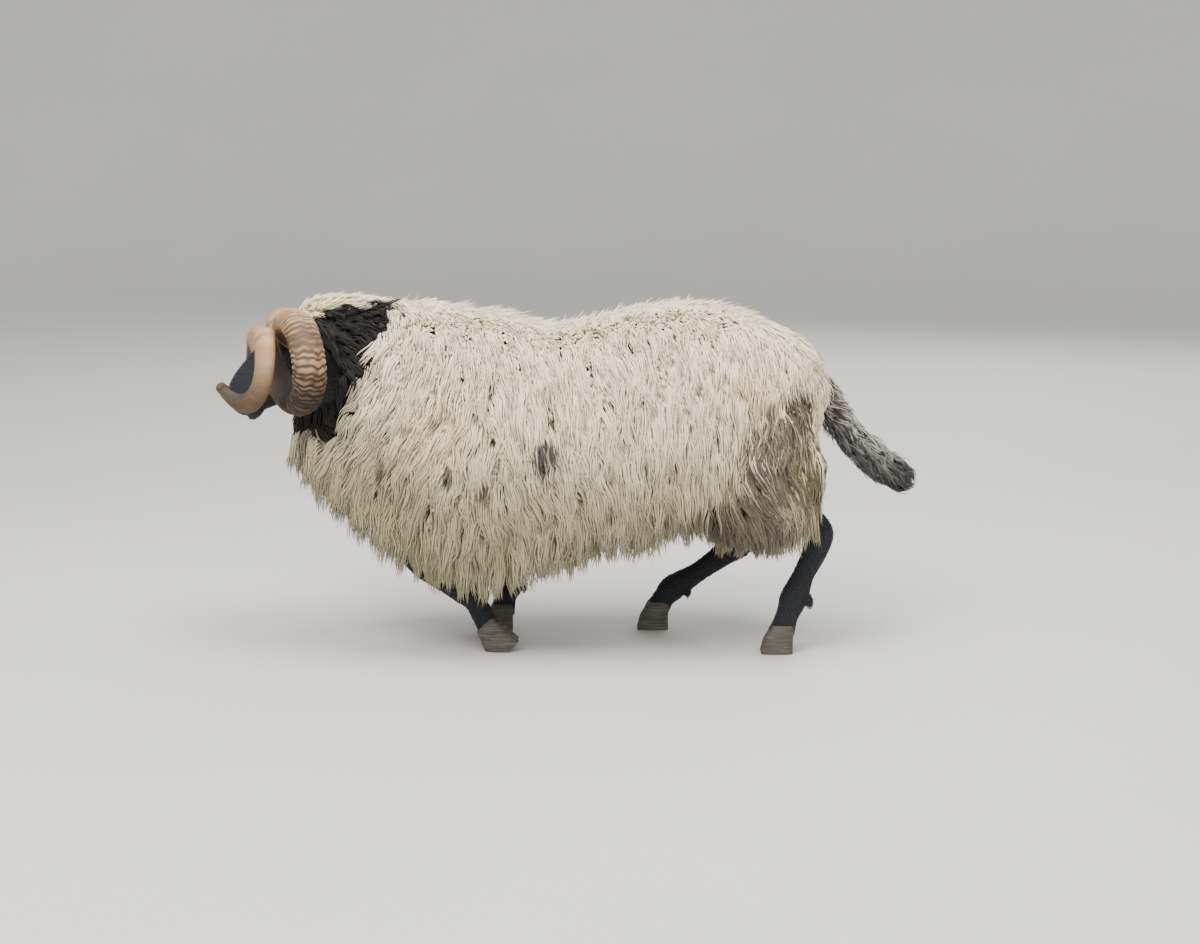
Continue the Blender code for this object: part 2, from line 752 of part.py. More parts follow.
def ear_form(side, grow=0.0):
    """A leaf-shaped ear, cupped towards the ground, as crescent sections from root to tip."""
    midrib = [on_face(along, brow, side * out) for along, brow, out, half in EAR]
    axes = face_axes()
    rings = []
    for i, (centre, row) in enumerate(zip(midrib, EAR)):
        ahead = midrib[min(i + 1, len(midrib) - 1)]
        behind = midrib[max(i - 1, 0)]
        tangent = (ahead - behind).normalized()
        wide = (axes[0] - tangent * axes[0].dot(tangent)).normalized()
        over = wide.cross(tangent) * side
        half = row[3] + grow
        thick = EAR_THICKNESS / 2
        outer = []
        inner = []
        for k in range(7):
            angle = math.pi * k / 6
            across, cup = half * math.cos(angle), half * EAR_CUP * math.sin(angle)
            taper = 0.35 + 0.65 * math.sin(angle)
            outer.append(centre + wide * across + over * (cup + thick * taper + 2 * grow))
            inner.append(centre + wide * across + over * (cup - thick * taper - 2 * grow))
        rings.append(outer + inner[::-1])
    if grow:
        rings[0] = [point - (midrib[1] - midrib[0]).normalized() * grow for point in rings[0]]
        rings[-1] = [point + (midrib[-1] - midrib[-2]).normalized() * grow for point in rings[-1]]
    return lofted("ear", rings)


def foot_frame(name):
    """The end of a leg, the direction in which its toe points and its upward direction."""
    end = Vector(LEGS[name][-1][:3])
    pitch = math.radians(HOOF_PITCH[name])
    toe = Vector((-math.cos(pitch), 0.0, -math.sin(pitch)))
    upward = Vector((-math.sin(pitch), 0.0, math.cos(pitch)))
    return end, toe, upward


def claw_form(name, side):
    """One half of a cloven hoof, cut flat by the floor and under the leg's end."""
    end, toe, upward = foot_frame(name)
    rings = []
    for ahead, height, long, wide in HOOF:
        middle = end + toe * ahead + upward * height + SIDE * side * (HOOF_CLEFT / 2 + wide)
        rings.append([
            middle + toe * long * c + SIDE * wide * math.copysign(abs(s) ** 0.8, s)
            for c, s in circle(HOOF_SIDES)
        ])
    claw = lofted("claw", rings)
    cut(claw, [half_space(Vector((0.0, 0.0, 0.0)), Vector((0.0, 0.0, -1.0)))])
    return cut(claw, [half_space(end - upward * GAP, upward)])


def leg_form(name, grow=0.0):
    """A leg with its two dewclaws, cut level with the top of its hooves."""
    end, toe, upward = foot_frame(name)
    rows = LEGS[name]
    wide, deep = rows[-1][3:]
    below = (*(end - upward * 0.012), wide, deep)
    leg = limb("leg", (*rows, below), grow=grow)
    cut(leg, [half_space(end, -upward)])
    fetlock = Vector(rows[-3][:3])
    heel = -toe * (rows[-3][4] + 0.001) - upward * 0.006
    claws = []
    for side, word in HANDS:
        place = fetlock + heel + SIDE * side * 0.012
        radii = (DEWCLAW_RADIUS + grow, DEWCLAW_RADIUS + grow, DEWCLAW_RADIUS * 1.6 + grow)
        claws.append(ball("dewclaw", place, radii, sides=6, rings=4))
    return fuse(leg, claws)


def fleece_grows(place, normal):
    """Where a fleece lock may root: off the neck's wedge and the tail's root."""
    off_collar = (place - COLLAR_FACE[0]).dot(COLLAR_FACE[1].normalized()) < 0.015
    off_throat = (place - THROAT_FACE[0]).dot(THROAT_FACE[1].normalized()) < 0.015
    off_tail = (place - Vector(TAIL[1][:3])).length > 0.055
    return (off_collar or off_throat) and off_tail and normal.z > -0.85


def mane_grows(place, normal):
    """Where a neck lock may root: between the collar and the nape."""
    from_collar = (place - COLLAR_FACE[0]).dot(COLLAR_FACE[1].normalized())
    from_nape = (place - NAPE_FACE[0]).dot(NAPE_FACE[1].normalized())
    return from_collar > -0.02 and from_nape < 0.03


def brush_grows(place, normal):
    """The tail's long hair starts where the tail leaves the fleece."""
    return BRUSH_X[0] < place.x < BRUSH_X[1]


def main():
    clear_scene()
    ram = bpy.data.collections.new("blackface_ram")
    bpy.context.scene.collection.children.link(ram)
    white = material("white_wool", WHITE_WOOL, 0.9)
    black = material("black_hair", BLACK_HAIR, 0.8)
    grey = material("grey_wool", GREY_WOOL, 0.9)
    brown = material("horn", HORN_BROWN, 0.5)
    dark = material("hoof", HOOF_GREY, 0.5)
    amber = material("eye", EYE_AMBER, 0.1)

    fleece, mane, brush = COATS["fleece"], COATS["mane"], COATS["brush"]
    torso = trunk_form(fleece["depth"])
    thighs = [
        limb("thigh", rows, sides=10, steps=1, grow=-fleece["depth"] / 2)
        for rows in (THIGH_LEFT, THIGH_RIGHT)
    ]
    fuse(torso, thighs)
    with_coat(torso, fleece, fleece_lie, fleece_grows)
    cut(torso, [collar_wedge(GAP)])
    cut(torso, [leg_form(name, BENT_GAP) for name in LEGS])
    cut(torso, [limb("pocket", TAIL, grow=BENT_GAP - brush["depth"])])
    tail = with_coat(limb("tail", TAIL, grow=-brush["depth"]), brush, brush_lie, brush_grows)
    neck = limb("neck", NECK, sides=NECK_SIDES, grow=-mane["depth"])
    with_coat(neck, mane, mane_lie, mane_grows)
    cut(neck, [collar_wedge(0.0)], "INTERSECT")
    cut(neck, [half_space(NAPE_FACE[0] - NAPE_FACE[1] * GAP, NAPE_FACE[1])])
    head = head_solid()
    cut(head, [half_space(NAPE_FACE[0], -NAPE_FACE[1])])
    for side, word in HANDS:
        for flesh in (torso, neck, head):
            cut(flesh, [horn_form(side, BENT_GAP)])
        cut(head, [ear_form(side, BENT_GAP)])
        cut(neck, [ear_form(side, EAR_CLEARANCE)])
        finish(horn_form(side), "horn_" + word, ram, brown)
        finish(ear_form(side), "ear_" + word, ram, black)
        eye = face_ball("eye", EYE_PLACE, (EYE_RADIUS, EYE_RADIUS, EYE_RADIUS), side)
        finish(eye, "eye_" + word, ram, amber)
    finish(keep_largest(torso), "torso", ram, white)
    finish(keep_largest(neck), "neck", ram, black)
    finish(keep_largest(head), "head", ram, black)
    finish(tail, "tail", ram, grey)

    for name in LEGS:
        end, toe, upward = foot_frame(name)
        finish(leg_form(name), name, ram, black)
        for side, word in ((-1, "_outer"), (1, "_inner")):
            claw = claw_form(name, side)
            finish(claw, name.replace("leg", "hoof") + word, ram, dark)


main()
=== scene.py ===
"""Looks for a life-size Scottish Blackface ram: skin, long fleece, black face and legs, ridged horns."""

import math

import bpy
import numpy as np
from mathutils import Matrix, Vector
from mathutils.bvhtree import BVHTree


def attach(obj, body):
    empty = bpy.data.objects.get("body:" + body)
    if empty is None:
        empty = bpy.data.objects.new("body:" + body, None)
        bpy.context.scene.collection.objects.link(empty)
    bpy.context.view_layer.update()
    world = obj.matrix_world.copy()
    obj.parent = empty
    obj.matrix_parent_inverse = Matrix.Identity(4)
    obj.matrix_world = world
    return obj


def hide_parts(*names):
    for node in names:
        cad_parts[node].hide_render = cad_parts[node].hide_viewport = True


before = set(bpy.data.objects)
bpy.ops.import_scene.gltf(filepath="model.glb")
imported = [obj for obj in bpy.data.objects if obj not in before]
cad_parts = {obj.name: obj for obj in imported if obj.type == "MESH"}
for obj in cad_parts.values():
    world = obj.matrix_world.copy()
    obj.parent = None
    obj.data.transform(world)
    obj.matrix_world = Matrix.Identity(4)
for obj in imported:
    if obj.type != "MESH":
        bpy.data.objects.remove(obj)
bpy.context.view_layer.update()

# SKIN
# The ram's own body under its wool: trunk, thighs, neck, tail, legs, ears and head in one closed skin.
# Each part is lofted through its sections, remeshed, smoothed and fused to the others.
# The trunk lies inside the solids by the depth of their core, and the face and legs lie on them.
TRUNK = (
    (-0.548, 0.430, 0.350, 0.035),
    (-0.528, 0.468, 0.325, 0.085),
    (-0.495, 0.500, 0.290, 0.118),
    (-0.450, 0.545, 0.255, 0.145),
    (-0.400, 0.610, 0.215, 0.168),
    (-0.335, 0.665, 0.175, 0.200),
    (-0.250, 0.664, 0.140, 0.230),
    (-0.150, 0.657, 0.120, 0.238),
    (-0.050, 0.634, 0.145, 0.240),
    (0.045, 0.640, 0.180, 0.240),
    (0.142, 0.661, 0.205, 0.242),
    (0.260, 0.675, 0.235, 0.238),
    (0.347, 0.660, 0.255, 0.225),
    (0.415, 0.632, 0.280, 0.200),
    (0.466, 0.600, 0.325, 0.168),
    (0.505, 0.572, 0.415, 0.125),
    (0.530, 0.522, 0.455, 0.065),
)
TRUNK_DEPTH = 0.036
TRUNK_SIDES = 48
TRUNK_SQUARE = (0.80, 0.66)
THIGHS = (
    (
        (0.372, -0.085, 0.485, 0.067, 0.074),
        (0.375, -0.125, 0.370, 0.067, 0.088),
        (0.362, -0.135, 0.290, 0.054, 0.080),
        (0.372, -0.130, 0.235, 0.034, 0.052),
    ),
    (
        (0.370, 0.085, 0.470, 0.067, 0.092),
        (0.325, 0.125, 0.370, 0.067, 0.090),
        (0.300, 0.133, 0.290, 0.054, 0.074),
        (0.303, 0.128, 0.225, 0.034, 0.048),
    ),
)
NECK = (
    (-0.270, 0.0, 0.500, 0.132, 0.142),
    (-0.340, 0.0, 0.525, 0.127, 0.134),
    (-0.400, 0.0, 0.546, 0.116, 0.122),
    (-0.450, 0.0, 0.554, 0.102, 0.116),
    (-0.500, 0.0, 0.556, 0.080, 0.104),
    (-0.530, 0.0, 0.556, 0.060, 0.080),
)
TAIL = (
    (0.435, 0.0, 0.560, 0.014, 0.016),
    (0.492, 0.0, 0.497, 0.016, 0.018),
    (0.524, 0.0, 0.442, 0.016, 0.018),
    (0.556, 0.0, 0.397, 0.018, 0.020),
    (0.598, 0.0, 0.361, 0.018, 0.020),
    (0.635, 0.0, 0.334, 0.017, 0.019),
    (0.662, 0.0, 0.316, 0.011, 0.012),
)
LEGS = {
    "fore_leg_left": (
        (-0.262, -0.100, 0.305, 0.036, 0.044),
        (-0.286, -0.094, 0.248, 0.029, 0.034),
        (-0.300, -0.090, 0.198, 0.025, 0.026),
        (-0.280, -0.089, 0.163, 0.019, 0.021),
        (-0.239, -0.088, 0.136, 0.018, 0.021),
        (-0.200, -0.088, 0.116, 0.022, 0.026),
        (-0.177, -0.088, 0.094, 0.020, 0.022),
        (-0.160, -0.088, 0.064, 0.021, 0.023),
        (-0.152, -0.088, 0.044, 0.021, 0.022),
    ),
    "fore_leg_right": (
        (-0.232, 0.100, 0.330, 0.036, 0.048),
        (-0.200, 0.094, 0.270, 0.030, 0.038),
        (-0.168, 0.090, 0.216, 0.026, 0.031),
        (-0.153, 0.089, 0.180, 0.019, 0.023),
        (-0.134, 0.088, 0.136, 0.018, 0.021),
        (-0.116, 0.087, 0.098, 0.023, 0.027),
        (-0.123, 0.087, 0.070, 0.020, 0.022),
        (-0.131, 0.087, 0.043, 0.022, 0.026),
    ),
    "hind_leg_left": (
        (0.385, -0.122, 0.292, 0.032, 0.042),
        (0.438, -0.118, 0.268, 0.027, 0.033),
        (0.482, -0.115, 0.238, 0.024, 0.029),
        (0.474, -0.113, 0.195, 0.020, 0.025),
        (0.454, -0.112, 0.152, 0.018, 0.022),
        (0.437, -0.111, 0.108, 0.024, 0.028),
        (0.424, -0.110, 0.073, 0.020, 0.023),
        (0.414, -0.110, 0.043, 0.022, 0.026),
    ),
    "hind_leg_right": (
        (0.280, 0.120, 0.285, 0.032, 0.044),
        (0.316, 0.116, 0.232, 0.027, 0.036),
        (0.346, 0.113, 0.182, 0.024, 0.033),
        (0.310, 0.111, 0.150, 0.019, 0.025),
        (0.262, 0.110, 0.115, 0.018, 0.021),
        (0.212, 0.109, 0.083, 0.023, 0.027),
        (0.193, 0.108, 0.063, 0.020, 0.023),
        (0.180, 0.108, 0.043, 0.022, 0.025),
    ),
}
FOOT_PITCH = {
    "fore_leg_left": math.radians(50.0),
    "fore_leg_right": 0.0,
    "hind_leg_left": 0.0,
    "hind_leg_right": 0.0,
}
DEWCLAW = (0.0075, 0.0075, 0.0120)
DEWCLAW_OUT = 0.0005
DEWCLAW_DROP = 0.006
DEWCLAW_APART = 0.012
LEG_INSET = 0.0015
LEG_INTO_HOOF = 0.002
POLL = Vector((-0.500, 0.0, 0.630))
FACE_PITCH = math.radians(46.0)
HEAD_TURN = (
    Matrix.Translation((-0.50, 0.0, 0.57))
    @ Matrix.Rotation(math.radians(10.0), 4, "Z")
    @ Matrix.Rotation(math.radians(-5.0), 4, "X")
    @ Matrix.Translation((0.50, 0.0, -0.57))
)
HEAD = (
    (-0.045, -0.010, -0.088, 0.040, 0.10, 0.20),
    (-0.018, 0.018, -0.108, 0.055, 0.16, 0.30),
    (0.016, 0.031, -0.120, 0.062, 0.20, 0.40),
    (0.050, 0.034, -0.124, 0.064, 0.20, 0.46),
    (0.084, 0.037, -0.116, 0.060, 0.26, 0.48),
    (0.112, 0.038, -0.102, 0.050, 0.30, 0.44),
    (0.138, 0.037, -0.084, 0.044, 0.28, 0.34),
    (0.163, 0.035, -0.067, 0.042, 0.22, 0.24),
    (0.185, 0.031, -0.057, 0.042, 0.14, 0.20),
    (0.203, 0.023, -0.049, 0.040, 0.10, 0.22),
    (0.216, 0.011, -0.039, 0.032, 0.10, 0.26),
    (0.223, -0.005, -0.028, 0.015, 0.10, 0.20),
)
HEAD_SIDES = 44
FACE_INSET = 0.0012
CHIN = ((0.195, -0.045, 0.0), (0.021, 0.012, 0.026))
EYE_RADIUS = 0.0142
EYE_PLACE = (0.086, 0.005, 0.0365)
EYE_GAZE = Vector((0.34, 0.36, 0.87)).normalized()
LID_FORM = (0.0235, 0.0170, 0.0198)
EYE_OPENING = (0.0142, 0.0074, 0.0120)
SOCKET_GAP = 0.0004
EAR = (
    (0.036, -0.058, 0.036, 0.012),
    (0.036, -0.062, 0.044, 0.013),
    (0.035, -0.074, 0.066, 0.021),
    (0.034, -0.087, 0.088, 0.025),
    (0.033, -0.100, 0.110, 0.022),
    (0.032, -0.110, 0.130, 0.015),
    (0.031, -0.116, 0.143, 0.005),
)
EAR_THICKNESS = 0.0056
EAR_CUP = 0.42
EAR_STEPS = 12
# The remesh's cell size and the rounds of smoothing, for the head, the legs and the trunk
HEAD_FUSE = (0.0020, 5)
LEG_FUSE = (0.0027, 3)
TRUNK_FUSE = (0.0075, 4)


def through(rows, steps):
    """More sections between the given ones, on a smooth curve through them."""
    rows = np.asarray(rows, float)
    before = np.vstack([rows[:1], rows[:-1]])[:-1]
    after = np.vstack([rows[1:], rows[-1:]])[1:]
    first, second = rows[:-1], rows[1:]
    made = []
    for k in range(steps):
        t = k / steps
        made.append(0.5 * (
            2 * first + (second - before) * t
            + (2 * before - 5 * first + 4 * second - after) * t * t
            + (3 * first - before - 3 * second + after) * t ** 3
        ))
    between = np.stack(made, 1).reshape(-1, rows.shape[1])
    return np.vstack([between, rows[-1:]])


def new_piece(name, points, faces):
    """A mesh object from its points and faces, with its faces pointing outwards."""
    mesh = bpy.data.meshes.new(name)
    mesh.from_pydata([tuple(p) for p in points], [], [tuple(f) for f in faces])
    made = bpy.data.objects.new(name, mesh)
    bpy.context.scene.collection.objects.link(made)
    take(made)
    bpy.ops.object.mode_set(mode="EDIT")
    bpy.ops.mesh.select_all(action="SELECT")
    bpy.ops.mesh.remove_doubles(threshold=1e-6)
    bpy.ops.mesh.normals_make_consistent(inside=False)
    bpy.ops.object.mode_set(mode="OBJECT")
    return made


def take(*pieces):
    """Selects these pieces alone, the first of them as the active one."""
    bpy.ops.object.select_all(action="DESELECT")
    for piece in pieces:
        piece.select_set(True)
    bpy.context.view_layer.objects.active = pieces[0]


def loft(name, rings):
    """One closed body through rings of equally many points."""
    rings = np.asarray(rings, float)
    count, sides = rings.shape[:2]
    faces = []
    for i in range(count - 1):
        for j in range(sides):
            k = (j + 1) % sides
            faces.append((i * sides + j, i * sides + k, (i + 1) * sides + k, (i + 1) * sides + j))
    faces.append(tuple(range(sides)))
    faces.append(tuple((count - 1) * sides + j for j in range(sides)))
    return new_piece(name, rings.reshape(-1, 3), faces)


def limb(name, rows, steps, sides, inset=0.0, start=(0.0, 1.0, 0.0)):
    """An oval limb along a path: each section is x, y, z, half width and half depth."""
    rows = through(rows, steps)
    ahead = np.vstack([rows[1:, :3], rows[-1:, :3]])
    behind = np.vstack([rows[:1, :3], rows[:-1, :3]])
    across = np.array(start)
    angles = np.linspace(0, 2 * math.pi, sides, endpoint=False)
    rings = []
    for row, tangent in zip(rows, ahead - behind):
        tangent = tangent / np.linalg.norm(tangent)
        across = across - tangent * across.dot(tangent)
        across = across / np.linalg.norm(across)
        deep = np.cross(tangent, across)
        rings.append(
            row[:3] + np.outer(np.cos(angles), across) * (row[3] - inset)
            + np.outer(np.sin(angles), deep) * (row[4] - inset)
        )
    return loft(name, rings)


def trunk_body():
    """The trunk under its wool: each section is x, top, bottom and half width, squarer below."""
    rows = through(TRUNK, 3)
    front = -TRUNK[0][0]
    rows[:, 0] *= 1 - TRUNK_DEPTH / front
    angles = np.linspace(0, 2 * math.pi, TRUNK_SIDES, endpoint=False)
    c, s = np.cos(angles), np.sin(angles)
    rings = []
    for x, top, bottom, half in rows:
        tall = max((top - bottom) / 2 - TRUNK_DEPTH, TRUNK_DEPTH / 4)
        half = max(half - TRUNK_DEPTH, TRUNK_DEPTH / 4)
        square = np.where(s > 0, *TRUNK_SQUARE)
        rings.append(np.stack([
            np.full(TRUNK_SIDES, x),
            half * np.sign(c) * np.abs(c) ** square,
            (top + bottom) / 2 + tall * np.sign(s) * np.abs(s) ** square,
        ], 1))
    return loft("trunk", rings)


def face_axes():
    """The head's own directions in space: along the face, up to the brow, and to the right."""
    turn = HEAD_TURN.to_3x3()
    along = turn @ Vector((-math.cos(FACE_PITCH), 0.0, -math.sin(FACE_PITCH)))
    brow = turn @ Vector((-math.sin(FACE_PITCH), 0.0, math.cos(FACE_PITCH)))
    return along, brow, turn @ Vector((0.0, 1.0, 0.0))


def on_face(along, brow, out):
    """A place in space from one along the face, up to the brow and out to the right."""
    axes = face_axes()
    return HEAD_TURN @ POLL + axes[0] * along + axes[1] * brow + axes[2] * out


def head_body():
    """Each section is along, brow, jaw, half width and how far it narrows above and below."""
    angles = np.linspace(0, 2 * math.pi, HEAD_SIDES, endpoint=False)
    c, s = np.cos(angles), np.sin(angles)
    axes = [np.array(a) for a in face_axes()]
    start = np.array(HEAD_TURN @ POLL)
    rings = []
    for along, brow, jaw, half, top_taper, jaw_taper in through(HEAD, 6):
        tall = (brow - jaw) / 2 - FACE_INSET
        narrow = 1 - np.where(s > 0, top_taper, jaw_taper) * np.abs(s) ** 1.5
        rings.append(
            start + axes[0] * (along - FACE_INSET)
            + np.outer((brow + jaw) / 2 + tall * s, axes[1])
            + np.outer((half - FACE_INSET) * narrow * c, axes[2])
        )
    return loft("head_form", rings)


def face_ball(name, place, radii, side):
    """A ball on the face with its axes along it, up to the brow and outwards."""
    axes = face_axes()
    turn = Matrix((axes[0], axes[1], axes[2])).transposed().to_4x4()
    bpy.ops.mesh.primitive_uv_sphere_add(segments=40, ring_count=24, radius=1.0)
    made = bpy.context.object
    made.name = name
    spot = on_face(place[0], place[1], side * place[2])
    made.data.transform(Matrix.Translation(spot) @ turn @ Matrix.Diagonal((*radii, 1.0)))
    return made


def ear_body(side):
    """A leaf-shaped ear, cupped towards the ground, as crescent sections from root to tip."""
    rows = through(EAR, 5)
    midrib = [on_face(a, b, side * out) for a, b, out in rows[:, :3]]
    axes = face_axes()
    rings = []
    for i, (centre, row) in enumerate(zip(midrib, rows)):
        tangent = midrib[min(i + 1, len(midrib) - 1)] - midrib[max(i - 1, 0)]
        tangent.normalize()
        wide = (axes[0] - tangent * axes[0].dot(tangent)).normalized()
        over = wide.cross(tangent) * side
        outer, inner = [], []
        for k in range(EAR_STEPS + 1):
            angle = math.pi * k / EAR_STEPS
            across, cup = row[3] * math.cos(angle), row[3] * EAR_CUP * math.sin(angle)
            taper = EAR_THICKNESS / 2 * (0.55 + 0.45 * math.sin(angle))
            outer.append(centre + wide * across + over * (cup + taper))
            inner.append(centre + wide * across + over * (cup - taper))
        rings.append([tuple(p) for p in outer + inner[::-1]])
    return loft("ear", rings)


def foot_frame(name):
    """The end of a leg, the direction in which its toe points and its upward direction."""
    pitch = FOOT_PITCH[name]
    toe = Vector((-math.cos(pitch), 0.0, -math.sin(pitch)))
    return Vector(LEGS[name][-1][:3]), toe, Vector((-math.sin(pitch), 0.0, math.cos(pitch)))


def leg_body(name):
    """A leg to just over its hooves, with two dewclaws behind the fetlock."""
    end, toe, upward = foot_frame(name)
    rows = LEGS[name]
    low = (*(end - upward * LEG_INTO_HOOF), rows[-1][3], rows[-1][4])
    parts = [limb(name, (*rows[:-1], low), 6, 24, LEG_INSET)]
    fetlock = Vector(rows[-3][:3])
    heel = -toe * (rows[-3][4] + DEWCLAW_OUT) - upward * DEWCLAW_DROP
    for side in (-1, 1):
        bpy.ops.mesh.primitive_uv_sphere_add(segments=20, ring_count=12, radius=1.0)
        claw = bpy.context.object
        spot = fetlock + heel + Vector((0.0, side * DEWCLAW_APART, 0.0))
        claw.data.transform(Matrix.Translation(spot) @ Matrix.Diagonal((*DEWCLAW, 1.0)))
        parts.append(claw)
    return parts


def fused(parts, voxel, smooth_rounds):
    """Joins overlapping parts, remeshes them into one closed skin and relaxes it."""
    take(*parts)
    bpy.ops.object.join()
    body = bpy.context.object
    change = body.modifiers.new("remesh", "REMESH")
    change.mode = "VOXEL"
    change.voxel_size = voxel
    bpy.ops.object.modifier_apply(modifier=change.name)
    change = body.modifiers.new("relax", "SMOOTH")
    change.factor = 0.5
    change.iterations = smooth_rounds
    bpy.ops.object.modifier_apply(modifier=change.name)
    return body


def with_others(body, others, operation):
    """One Boolean of the body with all the others together, which are then removed."""
    group = bpy.data.collections.new("others")
    bpy.context.scene.collection.children.link(group)
    for other in others:
        for home in list(other.users_collection):
            home.objects.unlink(other)
        group.objects.link(other)
    change = body.modifiers.new("change", "BOOLEAN")
    change.operation = operation
    change.solver = "MANIFOLD"
    change.operand_type = "COLLECTION"
    change.collection = group
    take(body)
    bpy.ops.object.modifier_apply(modifier=change.name)
    for other in others:
        bpy.data.objects.remove(other)
    bpy.data.collections.remove(group)


def places_of(body, key="co"):
    """The points of a mesh, or their normals, as one array."""
    found = np.empty(len(body.data.vertices) * 3)
    body.data.vertices.foreach_get(key, found)
    return found.reshape(-1, 3)


def put_places(body, points):
    body.data.vertices.foreach_set("co", points.ravel())
    body.data.update()


def in_face(points):
    """Places in space as along the face, up to the brow and out to the right."""
    axes = np.array([tuple(a) for a in face_axes()])
    return (points - np.array(HEAD_TURN @ POLL)) @ axes.T


def near_line(points, line):
    """How far each point is from a broken line."""
    line = np.asarray(line, float)
    nearest = np.full(len(points), np.inf)
    for a, b in zip(line[:-1], line[1:]):
        t = np.clip(((points - a) @ (b - a)) / ((b - a) @ (b - a)), 0, 1)
        far = np.linalg.norm(points - a - t[:, None] * (b - a), axis=1)
        nearest = np.minimum(nearest, far)
    return nearest


# Comma-shaped nostrils, the mouth line and the folds of the face, given for the right side
NOSTRIL = (
    (0.219, -0.004, 0.0085), (0.2205, 0.003, 0.0125), (0.214, 0.008, 0.0185),
    (0.205, 0.007, 0.0235),
)
MOUTH = (
    (0.226, -0.026, 0.000), (0.216, -0.032, 0.020), (0.200, -0.032, 0.034),
    (0.180, -0.029, 0.040), (0.158, -0.033, 0.040),
)
TEAR_FOLD = ((0.096, -0.003, 0.050), (0.110, -0.008, 0.047), (0.126, -0.012, 0.044))
CHEEK_LINE = ((0.075, -0.040, 0.060), (0.105, -0.044, 0.052), (0.135, -0.040, 0.045))
BROW_LINE = ((0.066, 0.022, 0.050), (0.086, 0.026, 0.050), (0.106, 0.020, 0.046))


def shape_face(body):
    """Pushes the nostrils, mouth, folds and brow of both sides into the skin of the head."""
    points = places_of(body)
    face = in_face(points)
    normals = places_of(body, "normal")
    push = np.zeros(len(points))
    for line, depth, wide in (
        (NOSTRIL, -0.0075, 0.0034),
        (MOUTH, -0.0026, 0.0018),
        (TEAR_FOLD, -0.0022, 0.0030),
        (CHEEK_LINE, 0.0022, 0.0090),
        (BROW_LINE, 0.0026, 0.0060),
    ):
        for side_face in (face * (1, 1, -1), face):
            push += depth * np.exp(-(near_line(side_face, line) / wide) ** 2)
    # The groove that splits the upper lip
    groove = np.exp(-(face[:, 2] / 0.0016) ** 2) * (face[:, 0] > 0.212) * (face[:, 1] < 0.002)
    push -= 0.0020 * groove * (face[:, 1] > -0.030)
    put_places(body, points + normals * push[:, None])


head_parts = [head_body(), face_ball("chin", *CHIN, 1)]
for side in (-1, 1):
    head_parts.append(face_ball("lid", EYE_PLACE, LID_FORM, side))
    head_parts.append(ear_body(side))
skin = fused(head_parts, *HEAD_FUSE)
shape_face(skin)
sockets = []
for side in (-1, 1):
    gaze = Vector(EYE_PLACE) + EYE_GAZE * EYE_RADIUS
    sockets.append(face_ball("opening", gaze, EYE_OPENING, side))
    sockets.append(face_ball("socket", EYE_PLACE, (EYE_RADIUS + SOCKET_GAP,) * 3, side))
with_others(skin, sockets, "DIFFERENCE")
leg_skins = [fused(leg_body(name), *LEG_FUSE) for name in LEGS]
rump_parts = [trunk_body(), limb("tail_form", TAIL, 4, 20), limb("neck_form", NECK, 4, 40)]
rump_parts += [limb("thigh", rows, 4, 24) for rows in THIGHS]
trunk_skin = fused(rump_parts, *TRUNK_FUSE)
with_others(skin, [*leg_skins, trunk_skin], "UNION")
skin.name = "skin"
while skin.data.uv_layers:
    skin.data.uv_layers.remove(skin.data.uv_layers[0])
take(skin)
bpy.ops.object.shade_smooth()
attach(skin, "root")
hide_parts("head", "neck", "torso", "tail", "ear_left", "ear_right", *LEGS)


